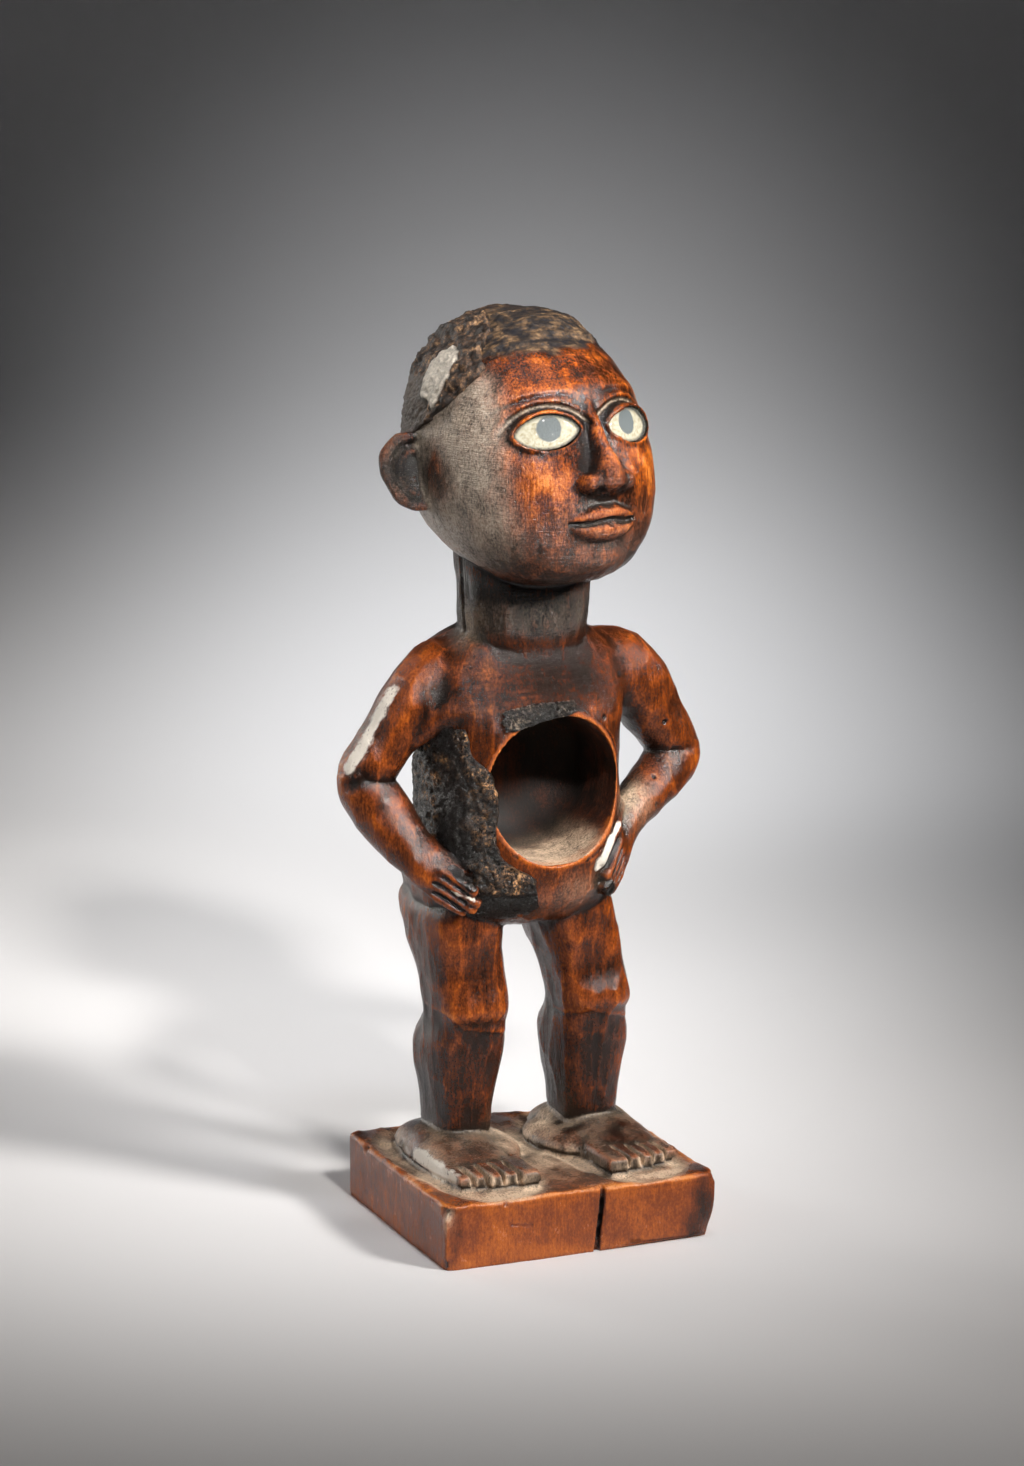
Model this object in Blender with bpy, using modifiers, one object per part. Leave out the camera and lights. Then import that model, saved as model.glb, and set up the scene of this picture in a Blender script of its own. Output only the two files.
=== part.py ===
"""A standing figure cut with its base from one block of wood, hollowed at the belly.

Its eyes are panes of glass over painted grounds, and resin is pressed on its head, belly and chest.
The figure faces -Y. The origin is the middle of the base's underside. Metres, +Z up.
"""

import bpy
import bmesh
import numpy as np
from mathutils import Vector

# Driving sizes
FIGURE_HEIGHT = 0.232
BASE_WIDTH = 0.079
BASE_DEPTH = 0.076
BASE_HEIGHT = 0.018
BASE_ROUNDING = 0.0011
CAVITY_WIDTH = 0.039
CAVITY_HEIGHT = 0.0406
CAVITY_DEPTH = 0.038
CAVITY_ROUNDING = 0.012
RIM_MARGIN = 0.0008
CRACK_WIDTH = 0.0013
CRACK_DEPTH = 0.011
CRACK_SIDEWAYS = 0.0036
CRACK_LEAN = 0.0009
EYE_WIDTH = 0.0176
EYE_HEIGHT = 0.0090
EYE_SPACING = 0.0262
EYE_SWING = np.radians(21)
EYE_BOW = 0.0165
GLASS_STAND = 0.0007
GLASS_THICKNESS = 0.0010
GLASS_BEVEL = 0.0016
GROUND_THICKNESS = 0.0008
LID_WIDTH = 0.0016
LID_HEIGHT = 0.0014
LID_ROOT = 0.0030
HEAD_RESIN_THICKNESS = 0.0016
BELLY_RESIN_THICKNESS = 0.0012
CRUST_SINK = 0.0015
FIT_GAP = 0.0003
PAST = 0.002

# The carving is drawn on a figure 232 units tall, its heights counted from the top of the base.
UNIT = FIGURE_HEIGHT / 232
BODY_MIDDLE = np.array([0.0, 8.0, 0.0])
CAVITY_MOUTH = (1.4, -17.0, 104.4)
HIP_HEIGHT = 68.0
HIP_SWAY = -2.4
HIP_SWAY_REACH = 14.0
UP = np.array([0.0, 0.0, 1.0])
FRONT = np.array([0.0, -1.0, 0.0])

# Torso sections from the crotch to the foot of the neck: height, half width, front and back
TORSO = [
    (65, 17, 9, 8),
    (67, 22.5, 15.5, 15),
    (71, 26.5, 20.5, 20),
    (76, 27.7, 23.5, 23),
    (84, 28, 25, 24),
    (96, 27.3, 25.5, 22.7),
    (108, 27, 25.2, 22.7),
    (118, 27.5, 24, 23.7),
    (126, 29, 22.5, 23.5),
    (133, 29.5, 20, 21.5),
    (139, 26.5, 17.5, 18.5),
    (144, 20.5, 14.5, 15),
    (147, 14, 11, 11),
]
TORSO_SQUARE = 2.4

# Neck sections: x, y, height, half width, front and back
NECK = [
    (0, 5, 134, 17.5, 17, 17),
    (0, 5, 142, 17.3, 16.8, 17),
    (0, 4.5, 150, 17.6, 17, 17),
    (0.3, 4.5, 158, 18.3, 17, 18),
    (0.6, 5, 166, 19, 17, 19),
    (1, 6, 173, 19, 16, 19),
]

# Leg sections from the instep to the hip
RIGHT_LEG = [
    (-18.3, 8, -1, 8.3, 9, 9),
    (-18.5, 8, 6, 8.2, 9.3, 9.3),
    (-18.3, 8, 15, 8.8, 10.5, 10.5),
    (-17.9, 8.5, 25, 10.1, 12, 12),
    (-17.6, 8.5, 32, 10.8, 12.8, 12.8),
    (-17.3, 6.2, 38.5, 10.1, 12, 10.6),
    (-17.1, 4.6, 43, 10.5, 12.4, 10.8),
    (-17, 6, 52, 10.7, 12.4, 12.8),
    (-16.8, 8.5, 62, 10.9, 15.8, 16),
    (-15.8, 11, 74, 11.7, 19.5, 19),
]
LEFT_LEG = [
    (19.3, 8, -1, 8.3, 9, 9),
    (19.5, 8, 6, 8.2, 9.3, 9.3),
    (19.6, 8, 15, 8.9, 10.5, 10.5),
    (19.7, 8.5, 25, 10.2, 12, 12),
    (19.7, 8.5, 32, 10.7, 12.8, 12.8),
    (19.5, 6.2, 38.5, 9.9, 12, 10.6),
    (19.3, 4.6, 43, 10.3, 12.4, 10.8),
    (18.6, 6, 52, 10.6, 12.4, 12.8),
    (17.2, 8.5, 62, 11.2, 15.8, 16),
    (15.8, 11, 74, 11.7, 19.5, 19),
]
BUTTOCK = (13, 14.5, 79)
BUTTOCK_RADII = (14.5, 20.5, 18)

# Foot sections for the right foot, from heel to toes: x, y, height of the instep, half width
FOOT = [
    (-20, 29, 2.4, 5),
    (-20, 25.5, 5.4, 9),
    (-20.5, 18, 8.2, 11),
    (-21, 8, 10, 12),
    (-21.5, -2, 8.4, 12.3),
    (-21.7, -10, 6.4, 11.9),
    (-21.7, -15, 5.2, 11.6),
    (-21.6, -18, 3.8, 11.3),
]
# Toes from the big toe outwards
TOE_WIDTHS = (5.9, 4.2, 4.0, 4.0, 3.8)
TOE_REACH = (29.6, 28.2, 28.0, 26.2, 25.0)
TOE_GAP = 0.9

# Arm sections, from the shoulder to the elbow and from the elbow to the hand
RIGHT_ARM = (
    [
        (-10, 7, 134.5, 8, 10, 10),
        (-22, 8, 132.5, 10.5, 11, 11),
        (-30.5, 8.3, 126.5, 9.2, 9.6, 9.6),
        (-37.6, 9.4, 116.8, 7.6, 8.2, 8.2),
        (-42.8, 10.2, 109, 7.5, 7.7, 7.7),
        (-45.6, 10.2, 104.4, 6.2, 7, 7),
    ],
    [
        (-46.2, 10.2, 109.5, 5.4, 6.2, 6.2),
        (-44.2, 9.6, 104.5, 7.5, 7.5, 7.5),
        (-40.8, 7.6, 99, 8, 7.5, 7.5),
        (-37.8, 4.6, 93.4, 7.6, 7, 7),
        (-34.4, 0.6, 88, 6.6, 5.8, 5.8),
        (-30, -5, 83.2, 6.4, 3.8, 4.5),
    ],
)
LEFT_ARM = (
    [
        (12, 7, 134, 8, 10, 10),
        (26, 8, 132.5, 11, 11, 11),
        (35, 8.3, 126.8, 10.2, 9.8, 9.8),
        (41, 9, 118.2, 8.3, 8.2, 8.2),
        (46.8, 9.8, 110.4, 7.4, 7.7, 7.7),
        (50, 9.8, 105.4, 6, 7, 7),
    ],
    [
        (50.6, 9.8, 110.4, 5, 6.2, 6.2),
        (48.2, 9.4, 105.6, 7.2, 7.5, 7.5),
        (43.8, 7.6, 101.2, 7.3, 7.4, 7.4),
        (37, 4.4, 96.8, 6.6, 6.8, 6.8),
        (29, -0.8, 91.2, 5.2, 5.2, 5.2),
        (22.2, -5.6, 84, 5.2, 3.2, 5.5),
    ],
)
# Each hand: the middle of its knuckles, the middle of its fingertips, and the way its back faces
RIGHT_HAND = ((-29.6, -5.6, 82.6), (-20.8, -13.6, 75.4), (-0.80, -0.58, 0.10))
LEFT_HAND = ((22.4, -7.2, 83.4), (16.2, -13.6, 75.6), (0.80, -0.58, 0.10))
FINGER_SPACING = 2.9
# Lengths as shares of the reach from the knuckles to the fingertips
FINGER_LENGTHS = (0.9, 1.04, 1.0, 0.86)
FINGER_TAPER = 0.12
# Along a finger and along the thumb: the share of its reach, the radius and the lift off the belly
FINGER = ((-0.35, 1.5, 0.4), (0.1, 1.9, 1.3), (0.7, 1.7, 0.7), (1, 1.0, 0))
THUMB = ((-0.75, 1.9, 0.6), (-0.15, 2.1, 1.4), (0.3, 1.9, 1.2), (0.45, 0.9, 0.7))
THUMB_PLACE = 7.2
FINGER_ROOT = 1.8

# The head has its own upright frame, tilted back and turned a little to its left.
HEAD_MIDDLE = np.array([0.0, 2.0, 194.0])
HEAD_TILT = np.radians(15)
HEAD_TURN = np.radians(9)
HEAD_SQUARE = 2.2
# Head sections from crown to chin: height, half width, front and back
HEAD = [
    (40, 0.5, -6.5, 7.5),
    (38, 8.5, 0.5, 14),
    (34, 15.5, 8, 21),
    (28, 21.5, 16.5, 27),
    (20, 26, 25, 30.5),
    (10, 29, 31, 32.5),
    (0, 30.5, 33, 33.5),
    (-8, 30.5, 33.2, 32),
    (-16, 29.3, 33, 27.5),
    (-24, 26, 31.4, 20),
    (-30, 21.5, 28.6, 10),
    (-35, 15, 24, 2),
    (-38, 5, 17, -8),
]
# Nose sections from its root to its tip and base: height, half width and reach ahead of the face
NOSE = [
    (8.5, 2.0, 0.2),
    (3, 2.2, 1.8),
    (-3, 2.8, 4.0),
    (-9, 4.2, 6.8),
    (-13, 5.8, 7.8),
    (-15.6, 6.0, 6.0),
    (-17.2, 4.4, 1.6),
]
NOSTRIL = (5.4, -13.8)
NOSTRIL_RADII = (2.6, 3.0, 2.5)
MOUTH_WIDTH = 22.0
MOUTH_HEIGHT = -23.6
# Each lip: height, half height and reach ahead of the face
LIPS = ((-21.6, 2.3, 3.0), (-25.9, 2.4, 3.2))
# The paths of the ear's rim and fold: distance out from the ear's root and up
EAR_RIM = [(-3, 7.4), (1.5, 9.2), (6.3, 8.6), (9.8, 5.2), (10.4, 0.6), (8.4, -4.6), (4.6, -8.6), (-1, -9.6)]
EAR_FOLD = [(-1, 4.8), (3.6, 5.0), (6.6, 1.6), (6, -3), (3, -6.2), (-1, -6.8)]
EAR_SWING = np.radians(28)
EAR_ROOT = (28.8, 6.0, -2.6)

# Resin on the head: place between crown and chin, and the angles where it starts and ends
HEAD_RESIN = [
    (0.06, -50, -198),
    (0.13, -36, -212),
    (0.20, -40, -226),
    (0.27, -45, -232),
    (0.335, -50, -228),
    (0.38, -70, -238),
    (0.42, -88, -230),
    (0.455, -110, -236),
    (0.50, -128, -222),
]
# Resin on the belly: height, and the angles where it starts and ends
BELLY_RESIN = [
    (69.5, -7, -38),
    (71, -5, -40),
    (73, -4, -41),
    (76, -5, -41),
    (80, -6, -42),
    (84, -17, -46),
    (88.5, -28, -64),
    (93, -32, -88),
    (98, -32, -101),
    (104, -32, -106),
    (110, -36, -105),
    (114.5, -47, -95),
    (118.5, -50, -80),
    (121.5, -51, -66),
]
# Resin on the chest: height over the top of the belly's hollow, and the angles where it starts and ends
CHEST_RESIN = [
    (-3.6, -25, -20),
    (-1.6, -25, -5),
    (0.4, -24, 9),
    (1.8, -22, 10),
    (3.4, -7, 9),
]
# The base seen from above, in shares of its width and depth
BASE_PLAN = ((-0.523, -0.474), (0.475, -0.500), (0.529, 0.448), (0.02, 0.540), (-0.470, 0.504))


def carved(points):
    """Turn places on the 232 unit figure into metres above the base."""
    return np.asarray(points, float) * UNIT + UP * BASE_HEIGHT


def unit(vectors):
    """Give vectors the length one."""
    return vectors / np.linalg.norm(vectors, axis=-1, keepdims=True)


def through(rows, count):
    """Rows on a smooth cubic curve through the given rows, evenly spaced or at given shares of the way."""
    rows = np.asarray(rows, float)
    last = len(rows) - 1
    places = np.linspace(0, last, count) if np.isscalar(count) else count * last
    slopes = np.gradient(rows, axis=0)
    low = np.minimum(places.astype(int), last - 1)
    t = (places - low)[:, None]
    start = (2 * t**3 - 3 * t**2 + 1) * rows[low] + (t**3 - 2 * t**2 + t) * slopes[low]
    return start + (3 * t**2 - 2 * t**3) * rows[low + 1] + (t**3 - t**2) * slopes[low + 1]


def around(angle, half_width, front, back, square):
    """Sideways and forward distances of a rounded section, its angle counted from the front."""
    side = np.sign(np.sin(angle)) * np.abs(np.sin(angle)) ** (2 / square)
    ahead = np.sign(np.cos(angle)) * np.abs(np.cos(angle)) ** (2 / square)
    return side * half_width, ahead * np.where(ahead > 0, front, back)


def ring(centre, right, forward, sizes, count, square):
    """The points of one section across a limb."""
    side, ahead = around(2 * np.pi * np.arange(count) / count, *sizes, square)
    return centre + np.outer(side, right) + np.outer(ahead, forward)


def add_object(name, work, collection):
    """Finish a bmesh and put it in a collection as a named object."""
    work.normal_update()
    bmesh.ops.recalc_face_normals(work, faces=work.faces)
    mesh = bpy.data.meshes.new(name)
    work.to_mesh(mesh)
    work.free()
    made = bpy.data.objects.new(name, mesh)
    collection.objects.link(made)
    return made


def loft(name, rings, collection, tips=None):
    """Skin rows of points into one closed body. Its ends are fans to the tips, or to their middles."""
    tips = tips or (np.mean(rings[0], axis=0), np.mean(rings[-1], axis=0))
    work = bmesh.new()
    grid = [[work.verts.new(point) for point in row] for row in rings]
    count = len(grid[0])
    for low, high in zip(grid, grid[1:]):
        for i in range(count):
            j = (i + 1) % count
            work.faces.new((low[i], low[j], high[j], high[i]))
    for row, tip in ((grid[0], tips[0]), (grid[-1], tips[1])):
        middle = work.verts.new(tip)
        for i in range(count):
            work.faces.new((row[i], row[(i + 1) % count], middle))
    return add_object(name, work, collection)


def limb(name, rows, sides, collection, square=2.0, forward=FRONT, heading=None, grow=0.0):
    """Skin sections along a path. A row is x, y, z, half width, and its depth ahead and behind."""
    rows = np.asarray(rows, float)
    path = rows[:, :3]
    heading = unit(np.gradient(path, axis=0)) if heading is None else np.tile(heading, (len(rows), 1))
    right = unit(np.cross(heading, forward))
    ahead = np.cross(right, heading)
    rings = [
        carved(ring(path[i], right[i], ahead[i], rows[i, 3:6] + grow / UNIT, sides, square))
        for i in range(len(rows))
    ]
    return loft(name, rings, collection)


def ball(name, centre, radii, turn, collection, grow=0.0, sides=10):
    """A rounded lump with its own half sizes."""
    radii = np.array(radii) + grow / UNIT
    work = bmesh.new()
    bmesh.ops.create_uvsphere(work, u_segments=sides, v_segments=sides // 2 + 1, radius=1.0)
    for vertex in work.verts:
        vertex.co = Vector(carved(centre + turn @ (np.array(vertex.co) * radii)))
    return add_object(name, work, collection)


def mirrored(rows, side):
    """Rows drawn for the right side, which is at -X, moved to the side asked for."""
    rows = np.array(rows, float)
    rows[:, 0] *= -side
    return rows


def sway(height):
    """How far the hips stand to the figure's right at a height."""
    return HIP_SWAY * np.exp(-(((height - HIP_HEIGHT) / HIP_SWAY_REACH) ** 2))


def head_turn():
    """The turn from the head's own frame to the figure's."""
    c, s = np.cos(HEAD_TILT), np.sin(HEAD_TILT)
    tilt = np.array([[1, 0, 0], [0, c, s], [0, -s, c]])
    c, s = np.cos(HEAD_TURN), np.sin(HEAD_TURN)
    return np.array([[c, -s, 0], [s, c, 0], [0, 0, 1]]) @ tilt


def on_head(points):
    """Move points from the head's own frame to the world."""
    return carved(HEAD_MIDDLE + np.asarray(points, float) @ head_turn().T)


def head_surface(place, angle, lift=0.0):
    """Points on the head: place runs from crown to chin, angle from the face to the figure's left."""
    height, half_width, front, back = through(HEAD, np.atleast_1d(place)).T
    side, ahead = around(angle, half_width, (front + back) / 2, (front + back) / 2, HEAD_SQUARE)
    points = np.stack([side, (back - front) / 2 - ahead, height], axis=-1)
    return points + unit(points - np.array([0.0, 4.0, 4.0])) * lift / UNIT


def face_front(height, side=0.0):
    """How far forward the face reaches at a height and a distance from its middle line."""
    table = np.array(HEAD)[::-1]
    half_width, front, back = (np.interp(height, table[:, 0], table[:, i]) for i in (1, 2, 3))
    bow = (1 - np.abs(side / half_width) ** HEAD_SQUARE) ** (1 / HEAD_SQUARE)
    return (front - back) / 2 + (front + back) / 2 * bow


def torso_surface(height, angle, lift=0.0):
    """Points on the torso: height in units above the base, angle from the front to the figure's left."""
    table = through(TORSO, 8 * len(TORSO))
    sizes = [np.interp(height, table[:, 0], table[:, i]) for i in (1, 2, 3)]
    side, ahead = around(angle, *sizes, TORSO_SQUARE)
    out = unit(np.stack([side, -ahead], axis=-1)) * lift / UNIT
    return np.stack([side + out[:, 0] + sway(height), out[:, 1] - ahead, height], axis=-1) + BODY_MIDDLE


def patch(name, surface, outline, columns, thickness, collection):
    """A crust on a surface, sunk in it until what lies under it is cut away.

    A row of its outline is a place and the angles where it starts and ends.
    """
    outline = np.asarray(outline, float)
    share = np.linspace(0, 1, columns)
    angles = np.radians(outline[:, 1:2] + (outline[:, 2:3] - outline[:, 1:2]) * share)
    places = np.broadcast_to(outline[:, 0:1], angles.shape)
    rim = np.zeros(angles.shape, bool)
    rim[[0, -1]] = rim[:, [0, -1]] = True
    lifts = (FIT_GAP + thickness * np.where(rim, 0.65, 1.0), np.full(angles.shape, -CRUST_SINK))
    layers = [surface(places.ravel(), angles.ravel(), lift.reshape(-1, 1)) for lift in lifts]
    work = bmesh.new()
    grids = [np.array([work.verts.new(p) for p in layer], object).reshape(angles.shape) for layer in layers]
    for grid in grids:
        for i in range(len(outline) - 1):
            for j in range(columns - 1):
                work.faces.new((grid[i, j], grid[i, j + 1], grid[i + 1, j + 1], grid[i + 1, j]))
    edges = [np.concatenate([g[0], g[1:, -1], g[-1, -2::-1], g[-2:0:-1, 0]]) for g in grids]
    for i in range(len(edges[0])):
        j = (i + 1) % len(edges[0])
        work.faces.new((edges[0][i], edges[0][j], edges[1][j], edges[1][i]))
    return add_object(name, work, collection)


def add_base(collection):
    """The hand-cut block under the feet: not quite square, with a bowed back."""
    work = bmesh.new()
    corners = [work.verts.new((x * BASE_WIDTH, y * BASE_DEPTH, 0)) for x, y in BASE_PLAN]
    bottom = work.faces.new(corners)
    top = bmesh.ops.extrude_face_region(work, geom=[bottom])["geom"]
    for vertex in [item for item in top if isinstance(item, bmesh.types.BMVert)]:
        vertex.co.z = BASE_HEIGHT
    base = add_object("base_block", work, collection)
    bevel = base.modifiers.new("worn edges", "BEVEL")
    bevel.width = BASE_ROUNDING
    bevel.segments = 2
    return base


def add_torso(name, collection, grow=0.0):
    """The trunk from the crotch to the foot of the neck."""
    torso = through(TORSO, 15)
    middle = np.tile(BODY_MIDDLE[:2], (len(torso), 1))
    rows = np.hstack([middle, torso])
    rows[:, 0] = sway(rows[:, 2])
    return limb(name, rows, 26, collection, TORSO_SQUARE, heading=UP, grow=grow)


def add_body(pieces, carving):
    """Torso, neck, buttocks and legs."""
    body = add_torso("figure", pieces)
    limb("neck", through(NECK, 5), 18, carving, heading=UP)
    for side, leg in ((-1, RIGHT_LEG), (1, LEFT_LEG)):
        add_leg(f"leg_{side}", leg, carving)
        middle = np.array(BUTTOCK) * (side, 1, 1) + (sway(BUTTOCK[2]), 0, 0)
        ball(f"buttock_{side}", middle, BUTTOCK_RADII, np.eye(3), carving, sides=14)
    return body


def add_leg(name, leg, collection, grow=0.0):
    """A leg with its knee, from the instep up into the torso."""
    rows = through(leg, 12)
    rows[:, 0] += sway(rows[:, 2])
    limb(name, rows, 12, collection, 2.5, heading=UP, grow=grow)


def add_foot(side, collection):
    """A long low foot with five square-cut toes, the big toe on the inner side."""
    rows = [(x, y, -0.7, half, top + 0.7, 3.0) for x, y, top, half in FOOT]
    limb(f"foot_{side}", mirrored(rows, side), 12, collection, 2.6, forward=UP, heading=FRONT)
    x = FOOT[-1][0] + FOOT[-1][3]
    for i, (width, reach) in enumerate(zip(TOE_WIDTHS, TOE_REACH)):
        half = (width - TOE_GAP) / 2
        middle = x - width / 2
        height = 3.7 - 0.2 * i
        toe = [
            (middle, -14.5, -1, half, height + 1.6, 1.5),
            (middle, -reach + 0.9, -1, half, height + 0.5, 1.5),
            (middle, -reach, -1, half * 0.8, height - 0.6, 1.5),
        ]
        limb(f"toe_{side}_{i}", mirrored(toe, side), 8, collection, 3.2, forward=UP, heading=FRONT)
        x -= width


def add_arm(name, arm, collection, grow=0.0):
    """The upper arm and the forearm, which meet in a sharp elbow."""
    for part, rows in zip(("upper", "fore"), arm):
        limb(f"{name}_{part}_arm", through(rows, 8), 12, collection, grow=grow)


def add_hand(name, hand, collection, grow=0.0):
    """Four fingers laid side by side on the belly, and a thumb above them."""
    knuckles, tips, back = (np.array(place) for place in hand)
    reach = tips - knuckles
    across = unit(np.cross(back, reach)) * np.sign(np.cross(back, reach)[2])
    out = unit(np.cross(across, reach))
    out = out * np.sign(out @ back)
    for i, length in enumerate(FINGER_LENGTHS):
        offset = across * FINGER_SPACING * (1.5 - i)
        rows = []
        for share, radius, lift in FINGER:
            place = knuckles + offset * (1 - FINGER_TAPER * share) + reach * share * length + out * lift
            rows.append((*place, radius, radius, radius + FINGER_ROOT))
        limb(f"{name}_finger_{i}", rows, 7, collection, forward=out, grow=grow)
    thumb = []
    for share, radius, lift in THUMB:
        place = knuckles + across * THUMB_PLACE + reach * share + out * lift
        thumb.append((*place, radius, radius, radius + FINGER_ROOT))
    limb(f"{name}_thumb", thumb, 7, collection, forward=out, grow=grow)


def add_ear(side, collection, grow=0.0):
    """A cupped ear: a thin plate, its rolled rim and the fold inside it."""
    out = np.array([side * np.cos(EAR_SWING), np.sin(EAR_SWING), 0.0])
    face = np.array([side * np.sin(EAR_SWING), -np.cos(EAR_SWING), 0.0])
    root = np.array(EAR_ROOT) * (side, 1, 1)
    turn = head_turn()

    def bent(points, radius, ahead):
        rows = through(points, 2 * len(points) - 1)
        places = HEAD_MIDDLE + (root + rows[:, :1] * out + rows[:, 1:] * UP + ahead * face) @ turn.T
        return np.hstack([places, np.full((len(rows), 3), radius)])

    limb(f"ear_rim_{side}", bent(EAR_RIM, 1.5, 0.5), 6, collection, forward=turn @ face, grow=grow)
    limb(f"ear_fold_{side}", bent(EAR_FOLD, 1.1, -0.1), 5, collection, forward=turn @ face, grow=grow)
    plate = HEAD_MIDDLE + turn @ (root + 3.2 * out - 1.0 * face)
    frame = turn @ np.stack([out, face, UP], axis=1)
    ball(f"ear_plate_{side}", plate, (7.8, 1.5, 9.2), frame, collection, grow)


def add_skull(name, collection, grow=0.0):
    """The head without its features."""
    angles = np.radians(np.arange(0, 360, 12))
    places = np.linspace(0.04, 0.97, 15)
    rings = [on_head(head_surface(np.full(len(angles), row), angles, grow)) for row in places]
    tips = [on_head(head_surface(end, np.array([0.0]), grow))[0] for end in (0.0, 1.0)]
    loft(name, rings, collection, tips)


def add_head(collection):
    """The head with its ears, nose and lips. The eyes are added after it."""
    add_skull("head", collection)
    rings = []
    for height, half, ahead in through(NOSE, 8):
        place = np.array([0, 3 - face_front(height), height])
        sizes = (half, ahead + 3, 3)
        rings.append(on_head(ring(place, np.array([-1, 0, 0]), FRONT, sizes, 10, 2.0)))
    loft("nose", rings, collection)
    sideways, height = NOSTRIL
    for side in (-1, 1):
        place = np.array([side * sideways, -face_front(height) - 1.2, height])
        ball(f"nostril_{side}", HEAD_MIDDLE + head_turn() @ place, NOSTRIL_RADII, head_turn(), collection)
        add_ear(side, collection)
    for name, lip in zip(("upper_lip", "lower_lip"), LIPS):
        add_lip(name, lip, collection)


def add_lip(name, lip, collection):
    """A lip that thins towards the corners of the mouth, where its ends sink into the face."""
    height, half, ahead = lip
    rings = []
    for share in np.linspace(-1, 1, 9):
        swell = np.sqrt(1.06 - share**2)
        place = np.array([share * MOUTH_WIDTH / 2, 0, (height - MOUTH_HEIGHT) * swell + MOUTH_HEIGHT])
        place[1] = 1.5 + 2.4 * share**4 - face_front(place[2], place[0])
        sizes = (half * swell, ahead * swell + 1.5, 2)
        rings.append(on_head(ring(place, UP, FRONT, sizes, 8, 2.0)))
    loft(name, rings, collection)


def eye_loft(name, side, layers, collection):
    """Skin almond outlines, each with a margin round the eye and a height over the face."""
    swing = EYE_SWING * side
    out = np.array([np.sin(swing), -np.cos(swing), 0.0])
    across = np.array([np.cos(swing), np.sin(swing), 0.0])
    side_way = side * EYE_SPACING / 2 / UNIT
    centre = np.array([side_way, -face_front(1.0, side_way), 1.0])
    angle = 2 * np.pi * np.arange(18) / 18
    rings = []
    for margin, height in layers:
        x = (EYE_WIDTH / 2 + margin) / UNIT * np.cos(angle)
        z = (EYE_HEIGHT / 2 + margin) / UNIT * np.sin(angle) * np.abs(np.sin(angle)) ** 0.35
        depth = height / UNIT - EYE_BOW * x**2
        rings.append(on_head(centre + np.outer(x, across) + np.outer(z, UP) + np.outer(depth, out)))
    tips = [on_head(centre + out * height / UNIT) for height in (layers[0][1], layers[-1][1])]
    return loft(name, rings, collection, tips)


def add_eye(side, name, pieces, carving, cutters):
    """A raised lid, the pocket cut in it, and the painted ground and glass that fill the pocket."""
    floor = GLASS_STAND - GLASS_THICKNESS - GROUND_THICKNESS - 2 * FIT_GAP
    lid = [(LID_WIDTH, -LID_ROOT), (LID_WIDTH, LID_HEIGHT * 0.5), (LID_WIDTH * 0.45, LID_HEIGHT)]
    eye_loft(f"lid_{side}", side, lid, carving)
    pocket = [(FIT_GAP, floor), (FIT_GAP, LID_HEIGHT + PAST)]
    eye_loft(f"eye_pocket_{side}", side, pocket, cutters)
    ground_top = floor + FIT_GAP + GROUND_THICKNESS
    ground = eye_loft(f"{name}_ground", side, [(0, floor + FIT_GAP), (0, ground_top)], pieces)
    pane = ground_top + FIT_GAP
    layers = [(0, pane), (0, pane + GLASS_THICKNESS * 0.6), (-GLASS_BEVEL, pane + GLASS_THICKNESS)]
    return ground, eye_loft(f"{name}_glass", side, layers, pieces)


def add_cavity(name, margin, collection):
    """The hollow in the belly: a turned cutter with a rounded inner end, a little taller than wide."""
    radius = CAVITY_WIDTH / 2 + margin
    corner = min(CAVITY_ROUNDING, radius * 0.9)
    turns = np.radians(np.linspace(0, 90, 4))
    ahead = CAVITY_WIDTH * 0.3
    outline = [(0, ahead), (radius, ahead)]
    for a in turns:
        outline.append((radius - corner * (1 - np.cos(a)), corner * (1 - np.sin(a)) - CAVITY_DEPTH))
    outline += [(0, -CAVITY_DEPTH)]
    work = bmesh.new()
    points = [work.verts.new((x, 0, z)) for x, z in outline]
    for first, second in zip(points, points[1:]):
        work.edges.new((first, second))
    mesh = bpy.data.meshes.new(name)
    work.to_mesh(mesh)
    work.free()
    cutter = bpy.data.objects.new(name, mesh)
    collection.objects.link(cutter)
    turned = cutter.modifiers.new("turned", "SCREW")
    turned.steps = turned.render_steps = 28
    turned.use_merge_vertices = True
    turned.merge_threshold = 0.00001
    cutter.location = cavity_mouth()
    cutter.rotation_euler = (np.radians(90), 0, 0)
    cutter.scale.y = CAVITY_HEIGHT / CAVITY_WIDTH


def cavity_mouth():
    """The middle of the belly hollow's mouth, on the front of the torso."""
    return Vector(carved(CAVITY_MOUTH))


def add_crack(collection):
    """The drying crack in the front of the base, a thin wedge as tall as the block."""
    front = -BASE_DEPTH / 2
    half = CRACK_WIDTH / 2
    rows = ((half, front - PAST), (half, front), (half / 10, front + CRACK_DEPTH))
    plan = [(x, y) for x, y in rows] + [(-x, y) for x, y in reversed(rows)]
    rings = []
    for level, lean in ((-PAST, -CRACK_LEAN), (BASE_HEIGHT + PAST, CRACK_LEAN)):
        rings.append(np.array([(CRACK_SIDEWAYS + lean + x, y, level) for x, y in plan]))
    loft("crack", rings, collection)


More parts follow.
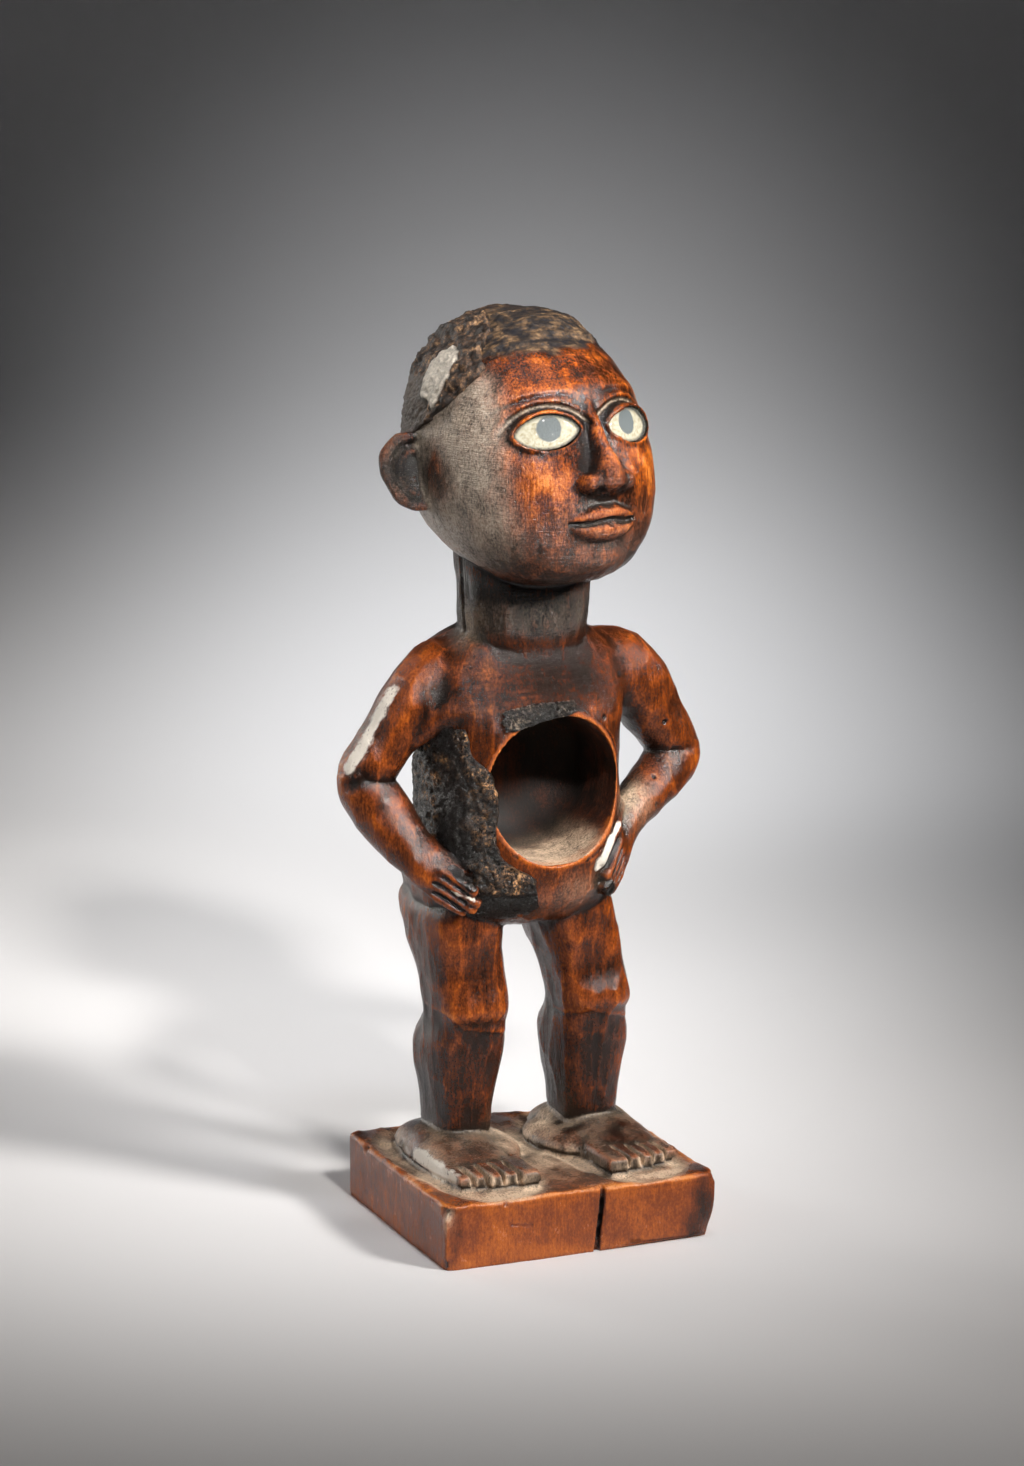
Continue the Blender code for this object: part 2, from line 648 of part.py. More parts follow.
def add_resin(pieces, room):
    """The crusts of resin on the head, the belly and the chest, cut clear of what stands near them."""
    def head(place, angle, lift):
        return on_head(head_surface(place, angle, lift))

    def torso(height, angle, lift):
        return carved(torso_surface(height, angle, lift))

    add_skull("room_head", room, FIT_GAP / np.cos(np.radians(30)))
    add_torso("room_torso", room, FIT_GAP)
    add_ear(-1, room, FIT_GAP)
    add_leg("room_leg", RIGHT_LEG, room, FIT_GAP)
    add_arm("room", RIGHT_ARM, room, FIT_GAP)
    add_hand("room", RIGHT_HAND, room, FIT_GAP)
    add_cavity("room_rim", RIM_MARGIN, room)
    chest = np.array(CHEST_RESIN, float)
    chest[:, 0] += CAVITY_MOUTH[2] + CAVITY_HEIGHT / 2 / UNIT
    return [
        patch("head_resin", head, HEAD_RESIN, 14, HEAD_RESIN_THICKNESS, pieces),
        patch("belly_resin", torso, BELLY_RESIN, 8, BELLY_RESIN_THICKNESS, pieces),
        patch("chest_resin", torso, chest, 8, BELLY_RESIN_THICKNESS, pieces),
    ]


def paint(made, name, colour, roughness, transmission=0.0):
    """Give a piece its own Principled material."""
    finish = bpy.data.materials.new(name)
    finish.use_nodes = True
    shader = finish.node_tree.nodes["Principled BSDF"]
    shader.inputs["Base Color"].default_value = (*colour, 1)
    shader.inputs["Roughness"].default_value = roughness
    shader.inputs["Transmission Weight"].default_value = transmission
    finish.diffuse_color = (*colour, 1)
    made.data.materials.append(finish)


def new_collection(name):
    """A collection of the scene's own."""
    made = bpy.data.collections.new(name)
    bpy.context.scene.collection.children.link(made)
    return made


for old in list(bpy.data.objects):
    bpy.data.objects.remove(old, do_unlink=True)

pieces = new_collection("kongo_figure")
carving = new_collection("carving_joined_to_the_body")
cutters = new_collection("hollows_and_cracks")
room = new_collection("room_kept_round_the_resin")

figure = add_body(pieces, carving)
add_base(carving)
for side in (-1, 1):
    add_foot(side, carving)
for name, arm, hand in (("right", RIGHT_ARM, RIGHT_HAND), ("left", LEFT_ARM, LEFT_HAND)):
    add_arm(name, arm, carving)
    add_hand(name, hand, carving)
add_head(carving)
for side, name in ((-1, "right_eye"), (1, "left_eye")):
    ground, glass = add_eye(side, name, pieces, carving, cutters)
    paint(ground, f"{name} painted ground", (0.62, 0.57, 0.42), 0.7)
    paint(glass, f"{name} glass", (0.80, 0.84, 0.84), 0.08, 0.9)
add_cavity("cavity", 0.0, cutters)
add_crack(cutters)
crusts = add_resin(pieces, room)
for crust in crusts:
    paint(crust, crust.name.replace("_", " "), (0.035, 0.026, 0.020), 0.75)
paint(figure, "carved wood", (0.13, 0.040, 0.014), 0.38)

steps = [(figure, carving, "UNION"), (figure, cutters, "DIFFERENCE")]
steps += [(crust, room, "DIFFERENCE") for crust in crusts]
for made, collection, operation in steps:
    step = made.modifiers.new(f"{operation.lower()} with {collection.name}", "BOOLEAN")
    step.operation = operation
    step.operand_type = "COLLECTION"
    step.collection = collection
    step.solver = "EXACT"
for collection in (carving, cutters, room):
    for helper in collection.objects:
        helper.hide_render = True
        helper.display_type = "WIRE"
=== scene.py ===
"""A wooden figure standing on its base in a studio, with glass eyes and crusts of resin.

Its shapes are drawn in millimetres: the figure's own heights count from the top of its base, and the
world's from the ground. It faces -Y, and its right side is at -X.
"""

import bmesh
import bpy
import numpy as np
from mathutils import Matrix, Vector
from mathutils.bvhtree import BVHTree


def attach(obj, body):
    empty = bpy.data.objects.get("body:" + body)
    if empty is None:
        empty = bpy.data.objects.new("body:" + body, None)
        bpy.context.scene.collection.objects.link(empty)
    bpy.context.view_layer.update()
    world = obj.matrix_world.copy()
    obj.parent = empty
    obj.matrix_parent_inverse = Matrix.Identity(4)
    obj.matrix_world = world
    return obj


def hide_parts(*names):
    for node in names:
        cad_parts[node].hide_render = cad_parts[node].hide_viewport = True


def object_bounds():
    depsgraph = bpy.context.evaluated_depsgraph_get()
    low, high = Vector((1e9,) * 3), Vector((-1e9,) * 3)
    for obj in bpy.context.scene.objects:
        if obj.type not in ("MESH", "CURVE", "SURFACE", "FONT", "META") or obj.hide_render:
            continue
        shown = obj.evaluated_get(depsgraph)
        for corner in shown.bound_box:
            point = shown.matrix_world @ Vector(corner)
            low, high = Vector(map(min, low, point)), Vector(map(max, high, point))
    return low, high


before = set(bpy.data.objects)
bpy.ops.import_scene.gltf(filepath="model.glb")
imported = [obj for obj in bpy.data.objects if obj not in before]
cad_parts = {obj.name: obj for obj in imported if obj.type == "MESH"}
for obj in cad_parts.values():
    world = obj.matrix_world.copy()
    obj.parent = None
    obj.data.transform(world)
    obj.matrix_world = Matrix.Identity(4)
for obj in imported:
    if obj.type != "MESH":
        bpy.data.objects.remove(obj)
cad_box = [list(corner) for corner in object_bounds()]

# The studio: a sheet of matt paper that runs under the figure and bends up behind it. Spots above light its
# middle and leave its edges dim. Three softboxes in front and overhead model the wood, and two strips on
# the left give the sides that turn away a grey sheen.

SIDEWAYS, DOWN, DISTANCE = np.radians(-25), np.radians(11.84), 1.3
AIM = np.array([-0.0052, 0.0, 0.13555])
FOCAL_LENGTH, SENSOR_WIDTH = 119.1, 36
SHEET_HALF_WIDTH, SHEET_TOP, BEND_START, BEND_RADIUS = 2.5, 3.0, 0.5, 0.5


def linear(code):
    """A colour in hex turned to the linear values that a shader takes."""
    parts = np.array([int(code[i : i + 2], 16) for i in (1, 3, 5)]) / 255
    return (*np.where(parts <= 0.04045, parts / 12.92, ((parts + 0.055) / 1.055) ** 2.4), 1.0)


def studio(across, ahead, up):
    """A place in metres, counted from the figure: to the camera's right, away from the camera, and up."""
    turn = np.array([[np.cos(SIDEWAYS), -np.sin(SIDEWAYS)], [np.sin(SIDEWAYS), np.cos(SIDEWAYS)]])
    return Vector((*(turn @ (across, ahead)), up))


def in_scene(name, data):
    """A new object of some data, placed in the scene."""
    made = bpy.data.objects.new(name, data)
    bpy.context.scene.collection.objects.link(made)
    return made


def add_light(name, kind, place, target, power, colour, **settings):
    """A lamp at a place in the studio, aimed at a target there."""
    data = bpy.data.lights.new(name, kind)
    data.energy = power
    data.color = linear(colour)[:3]
    for key, value in settings.items():
        setattr(data, key, value)
    lamp = in_scene(name, data)
    lamp.location = studio(*place)
    lamp.rotation_euler = (studio(*target) - lamp.location).to_track_quat("-Z", "Y").to_euler()


def new_material(name, inputs):
    """A material, its tree and its shader, with the sockets set that are the same all over the piece."""
    material = bpy.data.materials.new(name)
    material.use_nodes = True
    shader = material.node_tree.nodes["Principled BSDF"]
    for socket, value in inputs.items():
        shader.inputs[socket].default_value = value
    return material, material.node_tree, shader


def smooth_faces(mesh):
    """Let the light run smoothly over a mesh's faces."""
    mesh.polygons.foreach_set("use_smooth", np.ones(len(mesh.polygons), bool))


def mesh_object(name, points, faces):
    """Put arrays of points, in millimetres, and faces into a new object."""
    mesh = bpy.data.meshes.new(name)
    mesh.from_pydata(np.asarray(points, float) / 1000, [], faces)
    smooth_faces(mesh)
    return in_scene(name, mesh)


bpy.context.scene.view_settings.view_transform = "Standard"
towards = np.array([np.sin(SIDEWAYS) * np.cos(DOWN), -np.cos(SIDEWAYS) * np.cos(DOWN), np.sin(DOWN)])
lens = bpy.data.cameras.new("camera")
lens.lens, lens.sensor_width = FOCAL_LENGTH, SENSOR_WIDTH
camera = in_scene("camera", lens)
camera.location = AIM + towards * DISTANCE
camera.rotation_euler = Vector(-towards).to_track_quat("-Z", "Y").to_euler()
bpy.context.scene.camera = camera

# Place, target, watts and the cone's angle
for name, place, target, power, cone in (
    ("figure spot", (0, 0.00, 1.30), (0, 0.05, 0), 12.0, 16),
    ("floor spot", (-0.03, 0.10, 1.30), (-0.03, 0.30, 0), 23.0, 20),
    ("wide floor spot", (0, 0.10, 1.30), (0, 0.40, 0), 16.0, 26),
    ("low backdrop spot", (0, 0.25, 0.90), (0, 0.62, 0.03), 11.6, 24),
    ("wide backdrop spot", (0, 0.25, 0.90), (0, 0.60, 0.03), 20.4, 32),
    ("high backdrop spot", (0, 0.30, 0.90), (0, 0.80, 0.12), 11.0, 26),
):
    beam = {"shadow_soft_size": 0.1, "spot_size": np.radians(cone), "spot_blend": 1.0}
    add_light(name, "SPOT", place, target, power, "#FFFFFF", **beam)
# Place, target, watts, colour, width, height and the angle that the light spreads over
for name, place, target, power, code, width, height, spread in (
    ("right softbox", (0.95, -0.65, 0.80), (0, 0, 0.17), 0.70, "#FFFAF4", 0.24, 0.24, 28),
    ("front softbox", (0.40, -1.05, 0.95), (0, 0, 0.20), 0.27, "#FFFAF4", 0.13, 0.13, 20),
    ("overhead softbox", (0.15, -0.35, 1.15), (0, 0, 0.20), 0.04, "#F4F7FF", 0.14, 0.14, 24),
    ("left strip light", (-0.80, 0.60, 0.32), (0, 0, 0.17), 0.28, "#FFFAF4", 0.20, 0.60, 36),
    ("left front strip", (-1.00, -0.40, 0.38), (0, 0, 0.14), 0.18, "#FFFAF4", 0.14, 0.70, 60),
):
    box = {"shape": "RECTANGLE", "size": width, "size_y": height, "spread": np.radians(spread)}
    add_light(name, "AREA", place, target, power, code, **box)
world = bpy.data.worlds.new("studio air")
bpy.context.scene.world = world
world.use_nodes = True
air = world.node_tree.nodes["Background"]
air.inputs["Color"].default_value = linear("#FFFFFF")
air.inputs["Strength"].default_value = 0.01

# Uncoated paper: pale and without shine, so that it holds only soft shadows
paper, _, _ = new_material("matt paper", {"Base Color": linear("#E4E4E6"), "Roughness": 0.9})
bend = np.radians(np.linspace(0, 90, 19))
curve = zip(BEND_START + BEND_RADIUS * np.sin(bend), BEND_RADIUS - BEND_RADIUS * np.cos(bend))
profile = [(-SHEET_HALF_WIDTH, 0.0), *curve, (BEND_START + BEND_RADIUS, SHEET_TOP)]
edges = (-SHEET_HALF_WIDTH, SHEET_HALF_WIDTH)
sweep = [studio(across, ahead, up) * 1000 for across in edges for ahead, up in profile]
rows = len(profile)
floor = mesh_object("paper sweep", sweep, [(i, i + rows, i + rows + 1, i + 1) for i in range(rows - 1)])
floor.data.materials.append(paper)

# The figure: one block of close-grained wood, cut with adze and knife, rubbed with oil and handled until it
# shines. The base, the legs and the body are one piece. The belly is hollowed out and a drying crack
# runs down the front of the base.

UNIT_UP = np.array([0.0, 0.0, 1.0])
FRONT = np.array([0.0, -1.0, 0.0])
BASE_TOP = 18.0
BASE_SIDES = (79, 76)
BASE_PLAN = np.array([(-0.523, -0.474), (0.475, -0.5), (0.529, 0.448), (0.02, 0.54), (-0.47, 0.504)]) * BASE_SIDES
# Height, half width, and depth ahead and behind
TORSO = [
    (65, 17, 9, 8), (67, 22.5, 15.5, 15), (71, 26.5, 20.5, 20), (76, 27.7, 23.5, 23), (84, 28, 25, 24),
    (96, 27.3, 25.5, 22.7), (108, 27, 25.2, 22.7), (118, 27.5, 24, 23.7), (126, 29, 22.5, 23.5),
    (133, 29.5, 20, 21.5), (139, 26.5, 17.5, 18.5), (144, 20.5, 14.5, 15), (147, 14, 11, 11),
]
BODY_MIDDLE = np.array([0.0, 8.0, 0.0])
BODY_SQUARE, LEG_SQUARE, FOOT_SQUARE, TOE_SQUARE = 2.4, 3.1, 2.6, 8.0
# Place, half width, and depth ahead and behind
NECK = [
    (0, 6, 133, 16, 12.5, 17), (0, 5.4, 138, 17, 15, 17), (0, 5, 143, 17.2, 16.4, 17),
    (0, 4.5, 150, 17.6, 17, 17), (0.3, 4.5, 158, 18.3, 17, 18), (0.6, 5, 166, 19, 17, 19), (1, 6, 173, 19, 16, 19),
]
# Place ahead, height, depth ahead and behind, then how far out and how wide by half the right and the left leg are
LEGS = [
    (8, -1, 9, 9, (18.3, 8.3), (19.3, 8.3)), (8, 6, 9.3, 9.3, (18.5, 8.2), (19.5, 8.2)),
    (8, 15, 10.5, 10.5, (18.3, 8.8), (19.6, 8.9)), (8.5, 25, 12, 12, (17.9, 10.1), (19.7, 10.2)),
    (8.5, 32, 12.8, 12.8, (17.6, 10.8), (19.7, 10.7)), (6.2, 38.5, 12, 10.6, (17.3, 10.1), (19.5, 9.9)),
    (4.6, 43, 12.4, 10.8, (17.1, 10.5), (19.3, 10.3)), (6, 52, 12.4, 12.8, (17, 10.7), (18.6, 10.6)),
    (8.5, 62, 15.8, 16, (16.8, 10.9), (17.2, 11.2)), (10.8, 71, 18.6, 18, (15.8, 11.2), (15.8, 11.2)),
    (10, 79, 13.5, 14, (14.5, 7.5), (14.5, 7.5)),
]
# As for the neck: the upper arm, then the forearm
RIGHT_ARM = (
    [
        (-10, 7, 134.5, 8, 10, 10), (-22, 8, 132.5, 10.5, 11, 11), (-30.5, 8.3, 126.5, 9.2, 9.6, 9.6),
        (-37.6, 9.4, 116.8, 7.6, 8.2, 8.2), (-42.8, 10.2, 109, 7.5, 7.7, 7.7), (-45.6, 10.2, 104.4, 6.2, 7, 7),
    ],
    [
        (-46.2, 10.2, 109.5, 5.4, 6.2, 6.2), (-44.2, 9.6, 104.5, 7.5, 7.5, 7.5), (-40.8, 7.6, 99, 8, 7.5, 7.5),
        (-37.8, 4.6, 93.4, 7.6, 7, 7), (-34.4, 0.6, 88, 6.6, 5.8, 5.8), (-30, -5, 83.2, 6.4, 3.8, 4.5),
        (-25.6, -9.4, 79.8, 4.2, 2.2, 3.4),
    ],
)
LEFT_ARM = (
    [
        (12, 7, 134, 8, 10, 10), (26, 8, 132.5, 11, 11, 11), (35, 8.3, 126.8, 10.2, 9.8, 9.8),
        (41, 9, 118.2, 8.3, 8.2, 8.2), (46.8, 9.8, 110.4, 7.4, 7.7, 7.7), (50, 9.8, 105.4, 6, 7, 7),
    ],
    [
        (50.6, 9.8, 110.4, 5, 6.2, 6.2), (48.2, 9.4, 105.6, 7.2, 7.5, 7.5), (43.8, 7.6, 101.2, 7.3, 7.4, 7.4),
        (37, 4.4, 96.8, 6.6, 6.8, 6.8), (29, -0.8, 91.2, 5.2, 5.2, 5.2), (22.2, -5.6, 84, 5.2, 3.2, 5.5),
        (19.2, -9.8, 79.6, 3.4, 1.8, 3.6),
    ],
)
# Place and radius along the ridge where the right arm folds against the chest
ARM_FOLD = [
    (-35, 6.5, 114, 2.6), (-29.5, 1.6, 121, 3.4), (-25.6, -2.2, 125.2, 3.6), (-22.2, -5.2, 126.6, 3.5),
    (-19, -7.4, 125.4, 3.3), (-17, -8, 121, 2.8), (-16, -7.6, 117.5, 1.8),
]
# Place across and along the right foot, height of its top, and half width
FOOT = [
    (-20, 29, 2.4, 5), (-20, 25.5, 5.4, 9), (-20.5, 18, 8.2, 11), (-21, 8, 10, 12),
    (-21.5, -2, 8.4, 12.3), (-21.7, -10, 6.4, 11.9), (-21.7, -15, 5.2, 11.6), (-21.6, -18, 3.8, 11.3),
]
TOE_WIDTHS = (5.9, 4.2, 4, 4, 3.8)
TOE_REACH = (29.6, 28.2, 28, 26.2, 25)
TOE_GAP = 2
# A hand's knuckles, fingertips and the way its back faces
RIGHT_HAND = ((-30.2, -6, 80.8), (-22.4, -13.2, 74.6), (-0.80, -0.58, 0.10))
LEFT_HAND = ((22.4, -7.2, 83.4), (16.2, -13.6, 75.6), (0.80, -0.58, 0.10))
FINGER_SPACING = 2.4
FINGER_LENGTHS = (0.92, 1.12, 1.1, 0.92)
# Share of a finger's length, its radius there and how far it stands off the palm
FINGER = ((-0.6, 1.1, 0.1), (-0.1, 1.35, 1.1), (0.6, 1.3, 0.9), (0.92, 1.15, 0.4), (1, 0.8, 0.1))
LEFT_THUMB = [
    (25.5, -2, 96, 1.8), (21.3, -8.6, 91.8, 2.1), (18.2, -11.4, 88.6, 2.1), (16, -12.9, 85.4, 1.9),
    (14.3, -13.5, 82.6, 1.4),
]
HEAD_MIDDLE = np.array([0.0, 2.0, 194.0])
SKULL_HEART = np.array([0.0, 4.0, 4.0])
HEAD_SQUARE = 2.2
HEAD_TILT, HEAD_SWING = np.radians(15), np.radians(9)
# Height from the head's middle, half width, and reach ahead and behind
HEAD = [
    (40, 0.5, -6.5, 7.5), (38, 8.5, 0.5, 14), (34, 15.5, 8, 21), (28, 21.5, 16.5, 27), (20, 26, 25, 30.5),
    (10, 29, 31, 32.5), (0, 30.5, 33, 33.5), (-8, 30.5, 33.2, 32), (-16, 29.3, 33, 27.5), (-24, 26, 31.4, 20),
    (-30, 21.5, 28.6, 10), (-35, 15, 24, 2), (-38, 5, 17, -8),
]
# Height, half width and reach ahead of the face
NOSE = [
    (8.5, 2, 0.2), (3, 2.2, 1.8), (-3, 2.8, 4), (-9, 4.2, 6.8), (-13, 5.8, 7.8), (-15.6, 6, 6), (-17.2, 4.4, 1.6)
]
LIPS = ((-21.5, 2.2, 3.1), (-26, 2.5, 3.4))
LIP_HALF_WIDTH, MOUTH_LEVEL = 11.2, -23.7
EAR_RIM = [(-3, 7.4), (1.5, 9.2), (6.3, 8.6), (9.8, 5.2), (10.4, 0.6), (8.4, -4.6), (4.6, -8.6), (-1, -9.6)]
EAR_FOLD = [(-1, 4.8), (3.6, 5), (6.6, 1.6), (6, -3), (3, -6.2), (-1, -6.8)]
EAR_SWING = np.radians(28)
EYE_WIDTH, EYE_HEIGHT, EYE_SPACING, EYE_LEVEL, EYE_BOW = 17.6, 9.0, 26.2, 1.0, 0.0165
EYE_SWING = np.radians(21)
CAVITY_MOUTH = np.array([1.4, -17.0, 122.4])
CAVITY_WIDTH, CAVITY_HEIGHT, CAVITY_DEPTH, CAVITY_ROUNDING = 39.0, 40.6, 38.0, 12.0


def unit(vectors):
    """Vectors brought to length one."""
    return vectors / np.maximum(np.linalg.norm(vectors, axis=-1, keepdims=True), 1e-9)


def through(rows, count):
    """A smooth cubic through the rows, whose slope at each row is half the way between its neighbours. The count
    is a number of even places, or an array of places from 0 to 1."""
    rows = np.asarray(rows, float)
    last = len(rows) - 1
    places = np.linspace(0, last, count) if np.isscalar(count) else count * last
    slopes = np.gradient(rows, axis=0)
    low = np.minimum(places.astype(int), last - 1)
    t = (places - low)[:, None]
    start = (2 * t**3 - 3 * t**2 + 1) * rows[low] + (t**3 - 2 * t**2 + t) * slopes[low]
    return start + (3 * t**2 - 2 * t**3) * rows[low + 1] + (t**3 - t**2) * slopes[low + 1]


def full_turn(count):
    """Even angles once round."""
    return 2 * np.pi * np.arange(count) / count


def around(angle, half_width, front, back, square):
    """A rounded section: the sine and cosine of the angle from the front, each to the power 2 over square."""
    side = np.sign(np.sin(angle)) * np.abs(np.sin(angle)) ** (2 / square)
    ahead = np.sign(np.cos(angle)) * np.abs(np.cos(angle)) ** (2 / square)
    return side * half_width, ahead * np.where(ahead > 0, front, back)


def hump(values, middle, width):
    """A bell curve of one measure about its middle."""
    return np.exp(-(((values - middle) / width) ** 2))


def sway(height):
    """The hips stand to the figure's right by a bell curve of the height."""
    return -2.4 * hump(height, 68, 14)


def squares(rows, count, wrapped):
    """Four-sided faces over rows of points. A wrapped row's last point is joined to its first."""
    i, j = np.meshgrid(np.arange(rows - 1), np.arange(count if wrapped else count - 1), indexing="ij")
    k = (j + 1) % count
    return np.stack([i * count + j, i * count + k, (i + 1) * count + k, (i + 1) * count + j], -1).reshape(-1, 4)


def skin(rings, tips=None):
    """Points and faces of a closed body: rows of points joined by four-sided faces, with a fan at each end."""
    rings = np.asarray(rings, float)
    rows, count = rings.shape[:2]
    tips = (rings[0].mean(0), rings[-1].mean(0)) if tips is None else tips
    j = np.arange(count)
    k = (j + 1) % count
    top = (rows - 1) * count
    ends = [np.stack([k, j, np.full(count, rows * count)], -1)]
    ends.append(np.stack([top + j, top + k, np.full(count, rows * count + 1)], -1))
    points = np.concatenate([rings.reshape(-1, 3), np.asarray(tips, float)])
    return points, squares(rows, count, True).tolist() + np.concatenate(ends).tolist()


def limb(rows, sides, square=2.0, forward=FRONT, heading=None):
    """Sections carried along a path. A row is x, y, z, half width, and its depth ahead and behind."""
    rows = np.asarray(rows, float)
    heading = unit(np.gradient(rows[:, :3], axis=0)) if heading is None else np.tile(heading, (len(rows), 1))
    right = unit(np.cross(heading, forward))
    ahead = np.cross(right, heading)
    side, front = around(full_turn(sides), rows[:, 3:4], rows[:, 4:5], rows[:, 5:6], square)
    return skin(rows[:, None, :3] + side[..., None] * right[:, None] + front[..., None] * ahead[:, None])


def ball(centre, radii, turn=np.eye(3), sides=32):
    """A ball stretched by its three radii and turned."""
    angle = full_turn(sides)
    rise = np.radians(np.linspace(-87, 87, sides // 2))[:, None]
    sphere = np.stack([np.cos(rise) * np.cos(angle), np.cos(rise) * np.sin(angle), np.sin(rise) + 0 * angle], -1)
    return skin(np.asarray(centre) + (sphere * radii) @ np.asarray(turn).T)


def mirrored(rows, side):
    """Rows drawn for the right side, moved to the side asked for."""
    return np.array(rows, float) * ([-side] + [1] * (len(rows[0]) - 1))


HEAD_TURN = np.array(
    [[np.cos(HEAD_SWING), -np.sin(HEAD_SWING), 0], [np.sin(HEAD_SWING), np.cos(HEAD_SWING), 0], [0, 0, 1]]
) @ np.array([[1, 0, 0], [0, np.cos(HEAD_TILT), np.sin(HEAD_TILT)], [0, -np.sin(HEAD_TILT), np.cos(HEAD_TILT)]])


def on_head(points):
    """Points of the head's own upright frame, tilted back and turned with the head."""
    return HEAD_MIDDLE + np.asarray(points, float) @ HEAD_TURN.T


def head_surface(place, angle):
    """The head as a surface of its place from crown to chin and the angle from the face to its left."""
    height, half_width, front, back = through(HEAD, np.atleast_1d(place)).T
    side, ahead = around(angle, half_width, (front + back) / 2, (front + back) / 2, HEAD_SQUARE)
    return np.stack([side, (back - front) / 2 - ahead, height], axis=-1)


def off_the_heart(points, lift):
    """Points of the head moved straight away from the heart of the skull."""
    return points + unit(points - SKULL_HEART) * lift


def face_front(height, side=0.0):
    """How far forward the head reaches at a height and a distance from its middle line."""
    table = np.array(HEAD)[::-1]
    half_width, front, back = (np.interp(height, table[:, 0], table[:, i]) for i in (1, 2, 3))
    bow = (1 - np.minimum(np.abs(side / half_width), 1) ** HEAD_SQUARE) ** (1 / HEAD_SQUARE)
    return (front - back) / 2 + (front + back) / 2 * bow


def torso_surface(height, angle, lift=0.0):
    """The trunk as a surface of the height and the angle from the front to the figure's left."""
    table = through(TORSO, 8 * len(TORSO))
    sizes = [np.interp(height, table[:, 0], table[:, i]) for i in (1, 2, 3)]
    side, ahead = around(angle, *sizes, BODY_SQUARE)
    out = unit(np.stack([side, -ahead], axis=-1)) * lift
    return np.stack([side + out[:, 0] + sway(height), out[:, 1] - ahead, height], axis=-1) + BODY_MIDDLE


def eye_frame(side):
    """The middle of an eye in the head's frame, and the ways across and out of it."""
    swing = EYE_SWING * side
    middle = np.array([side * EYE_SPACING / 2, 0.0, EYE_LEVEL])
    middle[1] = -face_front(EYE_LEVEL, middle[0])
    return middle, np.array([np.cos(swing), np.sin(swing), 0.0]), np.array([np.sin(swing), -np.cos(swing), 0.0])


def almond(side, layers, count=72):
    """An eye's outline, pointed at its corners, at several margins and heights: the sine to the power 1.35."""
    middle, across, out = eye_frame(side)
    angle = full_turn(count)
    margin, height = np.array(layers, float).T[..., None]
    x = (EYE_WIDTH / 2 + margin) * np.cos(angle)
    z = (EYE_HEIGHT / 2 + margin) * np.sin(angle) * np.abs(np.sin(angle)) ** 0.35
    depth = height - EYE_BOW * x**2
    rings = middle + x[..., None] * across + z[..., None] * UNIT_UP + depth[..., None] * out
    tips = [on_head(middle + out * layers[i][1]) for i in (0, -1)]
    return skin(on_head(rings), tips)


def hand_frame(place):
    """A hand's knuckles, the way to its fingertips, and the ways across and out of its back."""
    knuckles, tips, back = (np.array(item, float) for item in place)
    reach = tips - knuckles
    across = unit(np.cross(back, reach))
    across = across * np.sign(across[2])
    out = unit(np.cross(across, reach))
    return knuckles, reach, across, out * np.sign(out @ back)


def hand(place, thumb):
    """Four fingers side by side and perhaps a thumb, as ridges on the belly, with the palm under them."""
    knuckles, reach, across, out = hand_frame(place)
    made = []
    for i, length in enumerate(FINGER_LENGTHS):
        offset = across * FINGER_SPACING * (1.5 - i)
        rows = []
        for share, radius, lift in FINGER:
            spot = knuckles + offset * (1 - 0.12 * share) + reach * share * length + out * lift
            rows.append((*spot, radius, radius, radius + 1.8))
        made.append(limb(through(rows, 20), 20, forward=out))
    if thumb:
        made.append(limb(through([(*row, row[3], row[3] + 1.5) for row in thumb], 24), 20, forward=out))
    palm = knuckles - out * 0.4 - reach * 0.2
    made.append(ball(palm, (5.6, 7.5, 2.9), np.stack([across, unit(reach), out], axis=1)))
    return made


def foot(side):
    """A long low foot with square-cut toes parted by deep saw cuts, and the mound round its ankle."""
    rows = through([(x, y, -0.7, half, top + 0.7, 3.0) for x, y, top, half in FOOT], 40)
    made = [limb(mirrored(rows, side), 40, FOOT_SQUARE, forward=UNIT_UP, heading=FRONT)]
    made.append(ball((side * 19.6, 10, 4.0), (11.8, 13, 6.2)))
    made.append(ball((side * 18.0, 5, 1.5), (15.5, 19, 5.8)))
    x = FOOT[-1][0] + FOOT[-1][3]
    for i, (width, reach) in enumerate(zip(TOE_WIDTHS, TOE_REACH)):
        half, middle, height = width / 2 + 0.1, x - width / 2, 4.4 - 0.15 * i
        # From the ball of the foot to the toe's end: place, and what the width loses and the height gains
        lengths = ((-14.5, 0, 1.4), (1.6 - reach, 0, 1.0), (0.3 - reach, 0, 0.6), (-reach, 0.4, 0.1))
        rows = [(middle, y, -1, half - less, height + more, 1.5) for y, less, more in lengths]
        made.append(limb(mirrored(rows, side), 48, TOE_SQUARE, forward=UNIT_UP, heading=FRONT))
        x -= width
    return made


def ear(side):
    """A cupped ear: a thin plate, its rolled rim and the fold inside it."""
    out = np.array([side * np.cos(EAR_SWING), np.sin(EAR_SWING), 0.0])
    face = np.array([side * np.sin(EAR_SWING), -np.cos(EAR_SWING), 0.0])
    root = np.array([side * 28.8, 6.0, -2.6])
    made = []
    for path, radius, ahead in ((EAR_RIM, 1.55, 0.5), (EAR_FOLD, 1.15, 0.0)):
        rows = through(path, 40)
        places = on_head(root + rows[:, :1] * out + rows[:, 1:] * UNIT_UP + ahead * face)
        swell = radius * (1 - 0.25 * np.linspace(-1, 1, 40) ** 2)
        sizes = np.repeat(swell[:, None], 3, axis=1)
        made.append(limb(np.hstack([places, sizes]), 20, forward=HEAD_TURN @ face))
    plate = on_head(root + 3.2 * out - 1.0 * face)
    made.append(ball(plate, (7.8, 1.5, 9.2), HEAD_TURN @ np.stack([out, face, UNIT_UP], axis=1)))
    return made


